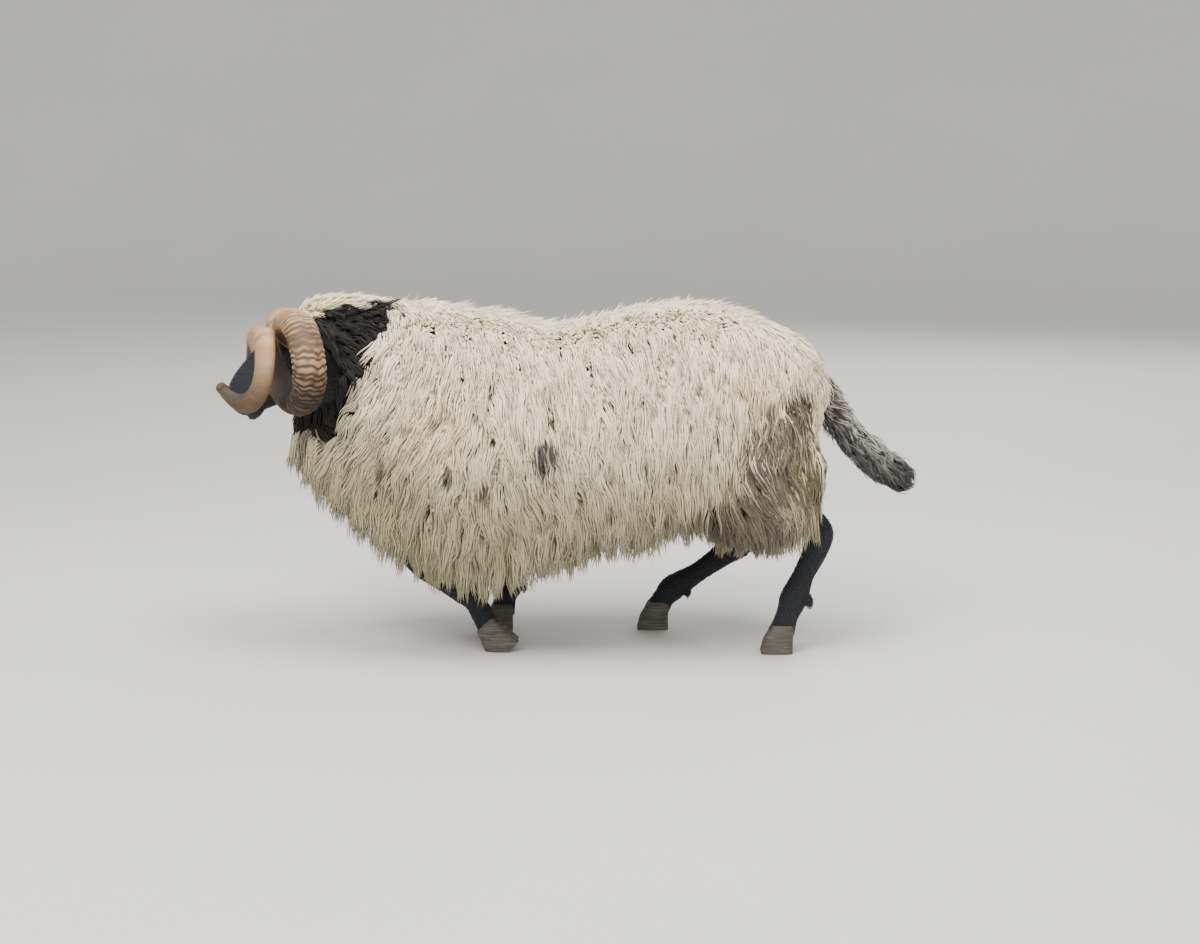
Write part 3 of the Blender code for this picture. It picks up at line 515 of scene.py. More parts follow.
class Flow:
    """One socket of a material: operators add its Math or Vector Math nodes."""

    def __init__(self, tree, socket):
        self.tree = tree
        self.socket = socket

    def node(self, kind, settings=None, inputs=None, output=0):
        """Any node, with its settings made first and then its sockets filled or linked."""
        made = self.tree.nodes.new(kind)
        for key, value in (settings or {}).items():
            if key == "stops":
                while len(made.color_ramp.elements) < len(value):
                    made.color_ramp.elements.new(0.5)
                for stop, (place, colour) in zip(made.color_ramp.elements, value):
                    stop.position = place
                    stop.color = (*colour, 1.0)
            else:
                setattr(made, key, value)
        for key, value in (inputs or {}).items():
            if isinstance(value, Flow):
                self.tree.links.new(value.socket, made.inputs[key])
            else:
                made.inputs[key].default_value = value
        return Flow(self.tree, made.outputs[output])

    def maths(self, operation, first, second=0.0, clamp=False):
        vectors = [v for v in (first, second) if isinstance(v, Flow) and v.socket.type in ("VECTOR", "RGBA")]
        if vectors and operation == "MULTIPLY" and not isinstance(second, tuple):
            if len(vectors) == 1:
                scale = second if first is vectors[0] else first
                return self.node("ShaderNodeVectorMath", {"operation": "SCALE"}, {0: vectors[0], 3: scale})
        if vectors:
            return self.node("ShaderNodeVectorMath", {"operation": operation}, {0: first, 1: second})
        settings = {"operation": operation, "use_clamp": clamp}
        return self.node("ShaderNodeMath", settings, {0: first, 1: second})

    def __add__(self, other):
        return self.maths("ADD", self, other)

    def __radd__(self, other):
        return self.maths("ADD", other, self)

    def __sub__(self, other):
        return self.maths("SUBTRACT", self, other)

    def __rsub__(self, other):
        return self.maths("SUBTRACT", other, self)

    def __mul__(self, other):
        return self.maths("MULTIPLY", self, other)

    def __rmul__(self, other):
        return self.maths("MULTIPLY", self, other)

    def __truediv__(self, other):
        return self.maths("DIVIDE", self, other)

    def least(self, other):
        return self.maths("MINIMUM", self, other)

    def most(self, other):
        return self.maths("MAXIMUM", self, other)

    def clipped(self):
        return self.maths("ADD", self, 0.0, clamp=True)

    def rising(self, low, high):
        """0 at low and 1 at high, with a soft start and end; low may be over high."""
        inputs = {"Value": self, "From Min": low, "From Max": high}
        if low > high:
            inputs.update({"From Min": high, "From Max": low, "To Min": 1.0, "To Max": 0.0})
        return self.node("ShaderNodeMapRange", {"interpolation_type": "SMOOTHSTEP"}, inputs)

    def noise(self, scale, detail=2.0, roughness=0.5):
        """Cloudy noise from 0 to 1 that reads this vector."""
        inputs = {"Vector": self, "Scale": scale, "Detail": detail, "Roughness": roughness}
        return self.node("ShaderNodeTexNoise", {}, inputs)

    def blend(self, first, second):
        """This share of the second colour over the first."""
        inputs = {0: self}
        for key, value in ((6, first), (7, second)):
            inputs[key] = value if isinstance(value, Flow) else (*value, 1.0)
        return self.node("ShaderNodeMix", {"data_type": "RGBA"}, inputs, 2)

    def along(self, direction):
        return self.node("ShaderNodeVectorMath", {"operation": "DOT_PRODUCT"}, {0: self, 1: direction}, 1)

    def far_from(self, place):
        return self.node("ShaderNodeVectorMath", {"operation": "DISTANCE"}, {0: self, 1: place}, 1)


def finish_of(name, roughness, sheen=0.0, sheen_colour=(1.0, 1.0, 1.0)):
    """A new material, with the start of its nodes and its shader."""
    made = bpy.data.materials.new(name)
    made.use_nodes = True
    shader = made.node_tree.nodes["Principled BSDF"]
    shader.inputs["Roughness"].default_value = roughness
    shader.inputs["Specular IOR Level"].default_value = 0.25
    shader.inputs["Sheen Weight"].default_value = sheen
    shader.inputs["Sheen Roughness"].default_value = 0.5
    shader.inputs["Sheen Tint"].default_value = (*sheen_colour, 1.0)
    return made, Flow(made.node_tree, None), shader


def plug(flow, value, shader, socket):
    flow.tree.links.new(value.socket, shader.inputs[socket])


def own(flow, attribute, vector=False):
    """A value that the piece's own mesh carries."""
    return flow.node("ShaderNodeAttribute", {"attribute_name": attribute}, {}, 1 if vector else 2)


def position(flow):
    """The place of each spot of the surface."""
    return flow.node("ShaderNodeTexCoord", {}, {}, 3)


def bumped(flow, shader, strength, distance, height):
    """Makes the surface look raised and sunk by a height."""
    inputs = {"Strength": strength, "Distance": distance, "Height": height}
    plug(flow, flow.node("ShaderNodeBump", {}, inputs), shader, "Normal")


# Markings: where a hair roots decides its colour, on the skin and on every tuft alike
# The fleece's edge on the neck: two planes, each a place and its direction, and how soft they are
COLLAR = (Vector((-0.374, 0.0, 0.543)), Vector((-0.944, 0.0, 0.330)).normalized())
THROAT = (Vector((-0.435, 0.0, 0.416)), Vector((0.250, 0.0, 0.968)).normalized())
COLLAR_SOFT = 0.004
POLL_HEIGHT = (0.656, 0.662)
POLL_FRONT = (-0.540, -0.530)
HEM_STAIN_AND_SHADE_HEIGHTS = (0.47, 0.235)
CHEST_DROP = -0.062
MARK_DEPTH = 0.11
WHITE_WOOL = (0.90, 0.80, 0.59)
GREY_WHITE = (0.83, 0.745, 0.555)
YOLK_WOOL = (0.76, 0.62, 0.38)
HEM_STAIN_AND_SHADE = (0.32, 0.275, 0.165)
BROWN_STAIN = (0.078, 0.058, 0.038)
STALE_YOLK = (0.118, 0.100, 0.046)
DARK_WOOL = (0.035, 0.027, 0.022)
BLACK_WOOL = (0.012, 0.012, 0.013)
BLACK_HAIR = (0.008, 0.010, 0.015)
TAIL_GREY = (0.25, 0.235, 0.225)
TAIL_DARK = (0.028, 0.025, 0.026)
TAIL_PALE = (0.56, 0.53, 0.47)
# Marks on the left side: place, reach along and up, colour, strength
MARKS = (
    ((-0.037, -0.230, 0.390), (0.021, 0.038), DARK_WOOL, 0.97),
    ((-0.246, -0.225, 0.458), (0.009, 0.015), BROWN_STAIN, 0.85),
    ((-0.220, -0.230, 0.356), (0.009, 0.020), BROWN_STAIN, 0.90),
    ((-0.198, -0.230, 0.402), (0.008, 0.022), YOLK_WOOL, 0.90),
    ((-0.350, -0.190, 0.363), (0.009, 0.034), BROWN_STAIN, 0.75),
    ((-0.150, -0.225, 0.322), (0.010, 0.020), BROWN_STAIN, 0.80),
    ((-0.244, -0.225, 0.480), (0.062, 0.085), YOLK_WOOL, 0.45),
    ((0.366, -0.200, 0.505), (0.055, 0.045), YOLK_WOOL, 0.55),
    ((0.404, -0.180, 0.398), (0.062, 0.078), BROWN_STAIN, 0.88),
    ((0.334, -0.190, 0.252), (0.092, 0.062), BROWN_STAIN, 0.92),
    ((0.380, -0.190, 0.335), (0.052, 0.048), BROWN_STAIN, 0.96),
    ((0.440, -0.110, 0.330), (0.064, 0.074), STALE_YOLK, 0.95),
    ((0.440, -0.125, 0.466), (0.026, 0.044), BROWN_STAIN, 0.97),
)


def wool_colour(place, tone, here, streak):
    """White fleece with stains, black collar and white poll: by the root, and stains by the spot; darker
    towards the hem, partly stain and partly painted shade.
    """
    wobble = place.noise(26.0, 3.0) - 0.5
    broad = place.noise(5.0, 2.0)
    patch = place.noise(11.0, 3.0)
    length, tall = place.along((1.0, 0.0, 0.0)), place.along((0.0, 0.0, 1.0))
    inside = []
    for edge, facing in (COLLAR, THROAT):
        past = place.along(tuple(facing)) - edge.dot(facing) + wobble * 0.030
        inside.append(past.rising(-COLLAR_SOFT, COLLAR_SOFT))
    black = inside[0].least(inside[1])
    nape = (length * -1.0 - 0.455).most(0.0) * 0.7
    poll = (tall + nape + wobble * 0.045).rising(*POLL_HEIGHT) * length.rising(*POLL_FRONT)
    black = black * (1.0 - poll)
    cream = broad.rising(0.35, 0.65).blend(WHITE_WOOL, GREY_WHITE)
    cream = (patch.rising(0.52, 0.74) * 0.45).blend(cream, YOLK_WOOL)
    ragged = here.noise(22.0, 3.0) - 0.5
    loose = ragged * 0.9 + (streak - 0.5) * 0.9
    # Darker and browner towards the hem, lower and further forward on the chest: partly stain from grass and
    # soil and partly painted shade.
    chest = here.along((1.0, 0.0, 0.0)).rising(-0.20, -0.36)
    height = here.along((0.0, 0.0, 1.0)) + chest * CHEST_DROP
    cream = ((height + loose * 0.05).rising(*HEM_STAIN_AND_SHADE_HEIGHTS) * 0.92).blend(cream, HEM_STAIN_AND_SHADE)
    clean = 1.0 - streak.rising(0.66, 0.84) * 0.42
    for spot, (long, high), colour, strength in MARKS:
        wide = (1 / long, 1 / MARK_DEPTH, 1 / high)
        centre = tuple(a * b for a, b in zip(spot, wide))
        reach = here.maths("MULTIPLY", here, wide).far_from(centre) + loose
        cream = (reach.rising(1.25, 0.80) * clean * strength).blend(cream, colour)
    cream = (tone * 0.30).blend(cream, cream * (0.86, 0.86, 0.86))
    return black.blend(cream, BLACK_WOOL)


def tail_colour(place, tone):
    """Mixed grey hair, pale on top by the rump, dark below and at the tip."""
    length, tall = place.along((1.0, 0.0, 0.0)), place.along((0.0, 0.0, 1.0))
    upper = (tall + length * 0.91).rising(0.895, 0.930)
    mixed = (tone.rising(0.30, 0.60) * (0.45 + upper * 0.55)).blend(TAIL_DARK, TAIL_GREY)
    mixed = (upper * tone.rising(0.25, 0.5)).blend(mixed, TAIL_PALE)
    return (length.rising(0.565, 0.635) * 0.92).blend(mixed, TAIL_DARK)


def mark_kinds(body):
    """Says of each point of the skin what grows there: 0 wool, 1 short hair, 2 the tail's hair."""
    points = places_of(body)
    face = in_face(points)
    kinds = np.zeros(len(points))
    sections = np.array(HEAD)
    jaw = np.interp(face[:, 0], sections[:, 0], sections[:, 2]) - 0.012
    on_head = (face[:, 0] > 0.010) & (face[:, 1] > jaw) & (points[:, 0] < -0.44)
    kinds[on_head] = 1
    for rows in LEGS.values():
        line = through([row[:3] for row in rows], 4)
        far = near_line(points, line)
        kinds[(far < 0.05) & (points[:, 2] < 0.30)] = 1
    far = near_line(points, [row[:3] for row in TAIL])
    kinds[(far < 0.03) & (points[:, 0] > 0.488)] = 2
    made = body.data.attributes.new("kind", "FLOAT", "POINT")
    made.data.foreach_set("value", kinds.astype(np.float32))
    return kinds


kinds = mark_kinds(skin)
hide, flow, shader = finish_of("hide", 0.75, 0.08)
coordinates = position(flow)
face_grain = coordinates.noise(420.0, 2.0)
kind, tone = own(flow, "kind"), coordinates.noise(60.0)
# The skin takes the wool's markings, darker and warmer: painted shade under the fleece.
colour = wool_colour(coordinates, tone, coordinates, tone) * (0.94, 0.88, 0.79)
colour = kind.rising(0.4, 0.6).blend(colour, BLACK_HAIR)
colour = kind.rising(1.4, 1.6).blend(colour, tail_colour(coordinates, tone))
colour = (face_grain * 0.22).blend(colour, BLACK_WOOL)
plug(flow, colour, shader, "Base Color")
nap = face_grain + coordinates.noise(1300.0, 1.0) * 0.5
bumped(flow, shader, 0.35, 0.0012, nap)
skin.data.materials.clear()
skin.data.materials.append(hide)

skin_points = [v.co.copy() for v in skin.data.vertices]
skin_faces = [tuple(f.vertices) for f in skin.data.polygons]
skin_tree = BVHTree.FromPolygons(skin_points, skin_faces)


def unwrap_skin():
    """The skin's own unwrap, which gives each tuft its place on the coat's map."""
    take(skin)
    skin.data.uv_layers.new(name="OFBake")
    bpy.ops.object.mode_set(mode="EDIT")
    bpy.ops.mesh.select_all(action="SELECT")
    bpy.ops.uv.smart_project(angle_limit=math.radians(70), island_margin=0.002)
    bpy.ops.object.mode_set(mode="OBJECT")


unwrap_skin()
skin_corners = np.empty(len(skin.data.loops) * 2)
if skin.data.uv_layers:
    skin.data.uv_layers["OFBake"].data.foreach_get("uv", skin_corners)
skin_corners = skin_corners.reshape(-1, 2)

# EYES
# Each eyeball is an amber globe set deep between its lids, with a sheep's level slit pupil.
# A wet clear layer covers the iris.
IRIS_AMBER = (0.33, 0.175, 0.042)
IRIS_RIM = (0.06, 0.030, 0.008)
IRIS_EDGE = (0.02, 0.014, 0.012)
PUPIL = (0.006, 0.005, 0.005)
IRIS_RADIUS = 0.0098
SLIT = (0.0058, 0.0021)
for side, word in ((-1, "left"), (1, "right")):
    centre = on_face(EYE_PLACE[0], EYE_PLACE[1], side * EYE_PLACE[2])
    axes = face_axes()
    gaze = (axes[0] * EYE_GAZE.x + axes[1] * EYE_GAZE.y + axes[2] * side * EYE_GAZE.z).normalized()
    level = Vector((-1.0, 0.0, 0.0))
    level = (level - gaze * level.dot(gaze)).normalized()
    tall = gaze.cross(level)
    bpy.ops.mesh.primitive_uv_sphere_add(segments=64, ring_count=40, radius=EYE_RADIUS)
    eye = bpy.context.object
    eye.name = f"eyeball_{word}"
    turn = Matrix((level, tall, gaze)).transposed().to_4x4()
    eye.data.transform(Matrix.Translation(centre) @ turn)
    bpy.ops.object.shade_smooth()
    wet, flow, shader = finish_of(f"wet_eye_{word}", 0.12)
    shader.inputs["Coat Weight"].default_value = 1.0
    shader.inputs["Coat Roughness"].default_value = 0.03
    shader.inputs["Specular IOR Level"].default_value = 0.5
    here = position(flow) - tuple(centre)
    across, high, front = here.along(tuple(level)), here.along(tuple(tall)), here.along(tuple(gaze))
    slit_x, slit_y = across / SLIT[0], high / SLIT[1]
    slit = (slit_x * slit_x * slit_x * slit_x + slit_y * slit_y).rising(1.25, 0.8) * front.rising(0.0, 0.004)
    squared = across * across + high * high
    ring = squared.maths("SQRT", squared)
    streaks = here.noise(700.0, 3.0)
    iris = (ring / IRIS_RADIUS).rising(0.62, 1.0).blend(IRIS_AMBER, IRIS_RIM)
    iris = (streaks.rising(0.45, 0.7) * 0.5).blend(iris, IRIS_RIM)
    iris = ring.rising(0.0094, 0.0104).blend(iris, IRIS_EDGE)
    plug(flow, slit.blend(iris, PUPIL), shader, "Base Color")
    eye.data.materials.append(wet)
    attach(eye, "root")
    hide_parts(f"eye_{word}")

# HORNS
# A ram's horn is a hollow sheath of horn on a bony core. It grows in waves, which stay as ridges
# across it, strong and broken on the first turn and faint on the smooth tip.
HORN_START = Vector((-0.523, -0.155, 0.550))
HORN_SPLAY = math.radians(12.5)
HORN_DIP = math.radians(9.3)
HORN_FORWARD = Vector((
    -math.cos(HORN_SPLAY) * math.cos(HORN_DIP),
    -math.sin(HORN_SPLAY) * math.cos(HORN_DIP),
    -math.sin(HORN_DIP),
))
HORN_OUTWARD = Vector((math.sin(HORN_SPLAY), -math.cos(HORN_SPLAY), 0.0))
HORN_UPWARD = -HORN_OUTWARD.cross(HORN_FORWARD)
HORN_REACH = (0.148, 1.75)
HORN_COIL = (0.080, 0.048)
HORN_TURN = math.radians(621)
HORN_FIRST = math.radians(-16.4)
HORN_ROOT = Vector((-0.504, -0.026, 0.592))
HORN_ROOT_REACH = 0.060
HORN_ROOT_STEPS = 24
HORN_RADII = (0.0320, 0.0320, 0.0305, 0.0275, 0.0240, 0.0210, 0.0190, 0.0190, 0.0100)
HORN_RINGS = 720
HORN_SIDES = 40
HORN_BLUNT = 0.012
HORN_FLATTEN = 0.12
# How strong the ridges are, by the share of the horn's length
HORN_RIDGES = (
    (0.00, 0.05, 0.10, 0.27, 0.36, 0.50, 1.00),
    (0.42, 0.50, 1.00, 1.00, 0.50, 0.12, 0.05),
)
RIDGE_HEIGHT = 0.0034
SWELL_HEIGHT = 0.0018
KNOB_DEPTH = 0.30


def horn_line():
    """The left horn's centre line from skull to tip, its radius and the share of its coil."""
    radii = through([(r,) for r in HORN_RADII], 40)[:, 0]
    shares = np.linspace(0, 1, HORN_RINGS)
    angles = HORN_FIRST + HORN_TURN * shares
    coil = HORN_COIL[0] + (HORN_COIL[1] - HORN_COIL[0]) * shares
    line = np.array(HORN_START) + np.outer(HORN_REACH[0] * shares ** HORN_REACH[1], HORN_FORWARD)
    line += np.outer(coil * np.cos(angles), HORN_UPWARD) + np.outer(coil * np.sin(angles), HORN_OUTWARD)
    first = Vector(line[0])
    leaving = HORN_OUTWARD * math.cos(HORN_FIRST) - HORN_UPWARD * math.sin(HORN_FIRST)
    bend = first - leaving * HORN_ROOT_REACH
    t = np.linspace(0, 1, HORN_ROOT_STEPS, endpoint=False)[:, None]
    root = np.array(HORN_ROOT) * (1 - t) ** 2 + np.array(bend) * 2 * t * (1 - t) + np.array(first) * t * t
    radius = np.interp(shares, np.linspace(0, 1, len(radii)), radii)
    blunt = np.clip((1 - shares) / HORN_BLUNT, 0, 1)
    radius = radius * np.sqrt(1 - (1 - blunt) ** 2 * 0.98)
    radius = np.concatenate([np.full(HORN_ROOT_STEPS, HORN_RADII[0]), radius])
    return np.vstack([root, line]), radius, np.concatenate([np.zeros(HORN_ROOT_STEPS), shares])


def waves(along, count, seed):
    """Uneven growth waves: how high each place stands on its crest, and the crest's number."""
    draw = np.random.default_rng(seed)
    gaps = draw.uniform(0.65, 1.45, count)
    crests = np.concatenate([[0], np.cumsum(gaps) / gaps.sum()])
    heights = draw.uniform(0.6, 1.15, count + 1)
    phase = np.interp(along, crests, np.arange(count + 1))
    height = np.interp(along, crests, heights)
    return np.abs(np.sin(math.pi * phase)) ** 0.55 * height, np.floor(phase)


def horn_body(name, side):
    """A ridged horn round its centre line, with what its finish reads on each point."""
    line, radius, share = horn_line()
    if side > 0:
        line = line * (1, -1, 1)
    turn = np.array(HEAD_TURN)
    line = line @ turn[:3, :3].T + turn[:3, 3]
    tangents = np.gradient(line, axis=0)
    tangents /= np.linalg.norm(tangents, axis=1)[:, None]
    across = turn[:3, :3] @ np.array((-1.0, 0.0, 0.0))
    angles = np.linspace(0, 2 * math.pi, HORN_SIDES, endpoint=False)
    length = np.concatenate([[0], np.cumsum(np.linalg.norm(np.diff(line, axis=0), axis=1))])
    total = length[-1]
    forward = turn[:3, :3] @ (np.array(HORN_FORWARD) * (1, -side, 1))
    middle = turn[:3, :3] @ (np.array(HORN_START) * (1, -side, 1)) + turn[:3, 3]
    points, alongs, crests, inners = [], [], [], []
    for i in range(len(line)):
        across = across - tangents[i] * across.dot(tangents[i])
        across /= np.linalg.norm(across)
        deep = np.cross(tangents[i], across)
        outer = line[i] - middle
        outer = outer - forward * outer.dot(forward)
        outer /= np.linalg.norm(outer)
        strength = np.interp(share[i], *HORN_RIDGES)
        lean = 0.0045 * np.sin(angles + 0.6) + 0.0016 * np.sin(5 * angles + 9 * share[i])
        lean += 0.0010 * np.sin(9 * angles - 60 * share[i])
        at = np.clip((length[i] + lean) / total, 0, 1)
        big, number = waves(at, 88, 5)
        knob = np.clip(np.sin(6 * angles + 2.4 * number + np.sin(3 * angles)), 0, 1) ** 2
        knobs = 1 - KNOB_DEPTH * min(1.0, share[i] / 0.16) * knob
        swell = waves(np.clip(at + 0.003 * np.sin(2 * angles), 0, 1), 17, 9)[0]
        radial = radius[i] * (1 + 0.04 * np.cos(angles * 2 + 0.5))
        radial = radial + (RIDGE_HEIGHT * (big * knobs - 0.8) + SWELL_HEIGHT * (swell - 0.7)) * strength
        facing = np.outer(np.cos(angles), across) + np.outer(np.sin(angles), deep)
        flat = deep * (np.sin(angles) * radial * HORN_FLATTEN)[:, None]
        points.append(line[i] + facing * radial[:, None] - flat)
        alongs.append(np.full(HORN_SIDES, length[i]))
        crests.append(1 - (1 - np.clip(big * knobs, 0, 1)) * strength)
        inners.append(np.clip(-facing @ outer, 0, 1))
    made = loft(name, points)
    for key, rows in (("along", alongs), ("crest", crests), ("inner", inners)):
        kept = made.data.attributes.new(key, "FLOAT", "POINT")
        values = np.concatenate(rows).astype(np.float32)
        kept.data.foreach_set("value", values[: len(made.data.vertices)])
    take(made)
    bpy.ops.object.shade_smooth()
    return made


HORN_CREAM = (0.50, 0.325, 0.195)
HORN_TAN = (0.33, 0.185, 0.10)
HORN_SOIL_AND_SHADE = (0.026, 0.018, 0.012)
HORN_GROOVE_AND_SHADE = (0.020, 0.012, 0.009)
HORN_GREY_AND_SHADE = (0.058, 0.047, 0.041)
horny, flow, shader = finish_of("ridged_horn", 0.42)
shader.inputs["Specular IOR Level"].default_value = 0.28
here = position(flow)
along, crest, inner = own(flow, "along"), own(flow, "crest"), own(flow, "inner")
tall = here.along((0.0, 0.0, 1.0))
lines = (here * 90.0 + flow.node("ShaderNodeCombineXYZ", {}, {0: along * 1100.0})).noise(1.0, 3.0)
cloud = here.noise(34.0, 3.0)
# low: how far down the coil a spot is. The lower coil is darker, partly soil and partly painted shade from
# the light above, and it is rougher there.
low = (tall + cloud * 0.06).rising(0.638, 0.525)
colour = cloud.rising(0.36, 0.68).blend(HORN_CREAM, HORN_TAN)
colour = (lines.rising(0.50, 0.76) * 0.45).blend(colour, HORN_TAN)
colour = (along.rising(0.55, 0.66) * 0.42).blend(colour, HORN_TAN)
colour = (low * (0.64 + lines * 0.60 - crest.rising(0.70, 1.0) * 0.12)).clipped().blend(colour, HORN_SOIL_AND_SHADE)
# Grooves between the ridges are darker: partly the horn's own darker colour and partly painted shade in the
# recesses, with more painted shade lower on the coil.
colour = (crest.rising(0.95, 0.48) * (0.76 + low * 0.22)).blend(colour, HORN_GROOVE_AND_SHADE)
# The inner face, towards the head, is darker grey: partly the horn's grey-brown colour and partly painted
# shade. The random grey patches below are the horn's own tone.
colour = (inner.rising(0.15, 0.65) * 0.85).blend(colour, HORN_GREY_AND_SHADE)
colour = (here.noise(18.0, 2.0).rising(0.56, 0.70) * 0.40).blend(colour, HORN_GREY_AND_SHADE)
plug(flow, colour, shader, "Base Color")
plug(flow, 0.40 + lines * 0.2 + low * 0.25, shader, "Roughness")
worn = lines + cloud * 0.6 + here.noise(260.0, 3.0) * 0.5
bumped(flow, shader, 0.6, 0.0012, worn)
for side, word in ((-1, "left"), (1, "right")):
    horn = horn_body(f"ridged_horn_{word}", side)
    horn.data.materials.append(horny)
    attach(horn, "root")
    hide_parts(f"horn_{word}")

# HOOVES
# Each foot ends in two claws of grey horn with a cleft between them and fine growth lines round
# them. They stand on the floor on flat soles.
CLEFT = 0.003
CLAW_SIDES = 28
CLAW = (
    (0.000, 0.012, 0.0195, 0.0090),
    (0.001, 0.003, 0.0230, 0.0108),
    (0.003, -0.005, 0.0245, 0.0115),
    (0.008, -0.022, 0.0285, 0.0125),
    (0.012, -0.060, 0.0330, 0.0130),
)
HOOF_GREY = (0.050, 0.046, 0.042)
HOOF_PALE = (0.13, 0.115, 0.095)
hoof_horn, flow, shader = finish_of("hoof_horn", 0.55)
here = position(flow)
growth = here.noise(240.0, 2.0)
rings = flow.node("ShaderNodeMapping", {}, {0: here, "Scale": (30.0, 30.0, 640.0)}).noise(1.0, 2.0)
colour = rings.rising(0.35, 0.75).blend(HOOF_GREY, HOOF_PALE)
colour = (growth.rising(0.5, 0.8) * 0.5).blend(colour, HOOF_GREY)
plug(flow, colour, shader, "Base Color")
bumped(flow, shader, 0.5, 0.001, rings + growth * 0.5)
for name in LEGS:
    end, toe, upward = foot_frame(name)
    foot_side = "left" if name.endswith("left") else "right"
    for side, word in ((-1, "left"), (1, "right")):
        place = "outer" if word == foot_side else "inner"
        node = name.replace("leg", "hoof") + "_" + place
        rings = []
        for ahead, height, long, wide in through(CLAW, 4):
            middle = end + toe * ahead + upward * height + Vector((0, side * (CLEFT / 2 + wide), 0))
            ring = []
            for k in range(CLAW_SIDES):
                angle = 2 * math.pi * k / CLAW_SIDES
                c, s = math.cos(angle), math.sin(angle)
                flat = 0.86 if s * side < 0 else 1.0
                ring.append(tuple(
                    middle + toe * long * math.copysign(abs(c) ** 0.92, c)
                    + Vector((0, wide * flat * math.copysign(abs(s) ** 0.8, s), 0))
                ))
            rings.append(ring)
        claw = loft(f"claw_{node}", rings)
        take(claw)
        bpy.ops.object.mode_set(mode="EDIT")
        bpy.ops.mesh.select_all(action="SELECT")
        bpy.ops.mesh.bisect(plane_co=(0, 0, 0), plane_no=(0, 0, 1), clear_inner=True, use_fill=True)
        bpy.ops.object.mode_set(mode="OBJECT")
        bpy.ops.object.shade_smooth_by_angle(angle=math.radians(50))
        claw.data.materials.append(hoof_horn)
        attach(claw, "root")
        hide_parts(node)

# FLEECE
# Long wool that hangs in wavy pointed locks on the flanks, chest and thighs, and lies shorter and
# flatter on the back. Each lock is a bundle of tapered staples that run together to its tip.
HEM = (
    (-0.548, 0.350), (-0.500, 0.320), (-0.430, 0.265), (-0.350, 0.195), (-0.300, 0.150),
    (-0.180, 0.118), (-0.140, 0.114), (-0.060, 0.148), (0.045, 0.180), (0.177, 0.214),
    (0.250, 0.230), (0.300, 0.195), (0.430, 0.195), (0.470, 0.290), (0.530, 0.420),
)
LOCK_STATIONS = 10
# How far the wool sweeps back for each metre it falls: x, above the elbow's height, below it
SWEEP = (
    (-0.55, -0.35, -0.35), (-0.45, -0.60, -0.55), (-0.30, -0.60, -0.30), (-0.20, -0.30, 0.05),
    (-0.12, 0.00, 0.30), (-0.04, 0.08, 0.55), (0.06, 0.10, 0.55), (0.14, 0.08, 0.25),
    (0.22, 0.06, 0.10), (0.30, 0.10, 0.45), (0.36, 0.15, 0.75), (0.43, 0.10, 0.75), (0.47, 0.10, 0.40),
)
TAIL_ROOT = (0.502, 0.0, 0.480)
TAIL_BARE = 0.040
STAPLE_CORNERS = (math.pi / 2, math.pi * 7 / 6, math.pi * 11 / 6)


def triangle_rows(key):
    """The skin's triangles as rows of the numbers of three points or of three face corners."""
    found = np.empty(len(skin.data.loop_triangles) * 3, np.int32)
    skin.data.loop_triangles.foreach_get(key, found)
    return found.reshape(-1, 3)


skin.data.calc_loop_triangles()
tri_points, tri_loops = triangle_rows("vertices"), triangle_rows("loops")
skin_normals = places_of(skin, "normal")
corners = places_of(skin)[tri_points]
tri_areas = np.linalg.norm(np.cross(corners[:, 1] - corners[:, 0], corners[:, 2] - corners[:, 0]), axis=1) / 2


def draw_roots(count, draw, allowed):
    """Seeded places over the skin by area, weighted by place and kind, with their normals and places on its
    unwrap.
    """
    weights = tri_areas * allowed(corners.mean(1), kinds[tri_points].mean(1))
    chosen = draw.choice(len(tri_areas), count, p=weights / weights.sum())
    a, b = np.sort(draw.random((2, count)), axis=0)
    shares = np.stack([a, b - a, 1 - b], 1)[:, :, None]
    normals = (skin_normals[tri_points[chosen]] * shares).sum(1)
    flat = np.zeros((count, 2))
    if len(skin_corners):
        flat = (skin_corners[tri_loops[chosen]] * shares).sum(1)
    return {
        "place": (corners[chosen] * shares).sum(1),
        "normal": normals / np.linalg.norm(normals, axis=1)[:, None],
        "flat": flat,
    }


def thinned(roots, spacing):
    """Keeps roots that are no closer to each other than their spacing."""
    cell = float(np.max(spacing))
    grid = {}
    kept = []
    places = roots["place"]
    cells = np.floor(places / cell).astype(int)
    around = [(i, j, k) for i in (-1, 0, 1) for j in (-1, 0, 1) for k in (-1, 0, 1)]
    for index, (place, key) in enumerate(zip(places, cells)):
        close = [
            other for step in around
            for other in grid.get((key[0] + step[0], key[1] + step[1], key[2] + step[2]), ())
        ]
        if close:
            gaps = np.linalg.norm(places[close] - place, axis=1)
            if gaps.min() < spacing[index]:
                continue
        grid.setdefault(tuple(key), []).append(index)
        kept.append(index)
    return {key: values[kept] for key, values in roots.items()}


def hem(x):
    """The height at which the wool ends along the body."""
    return np.interp(x, [row[0] for row in HEM], [row[1] for row in HEM])


def unit(vectors):
    return vectors / (np.linalg.norm(vectors, axis=-1, keepdims=True) + 1e-9)


def along_skin(way, normals):
    """Each direction with what points off the skin taken away."""
    return way - normals * (way * normals).sum(1)[:, None]


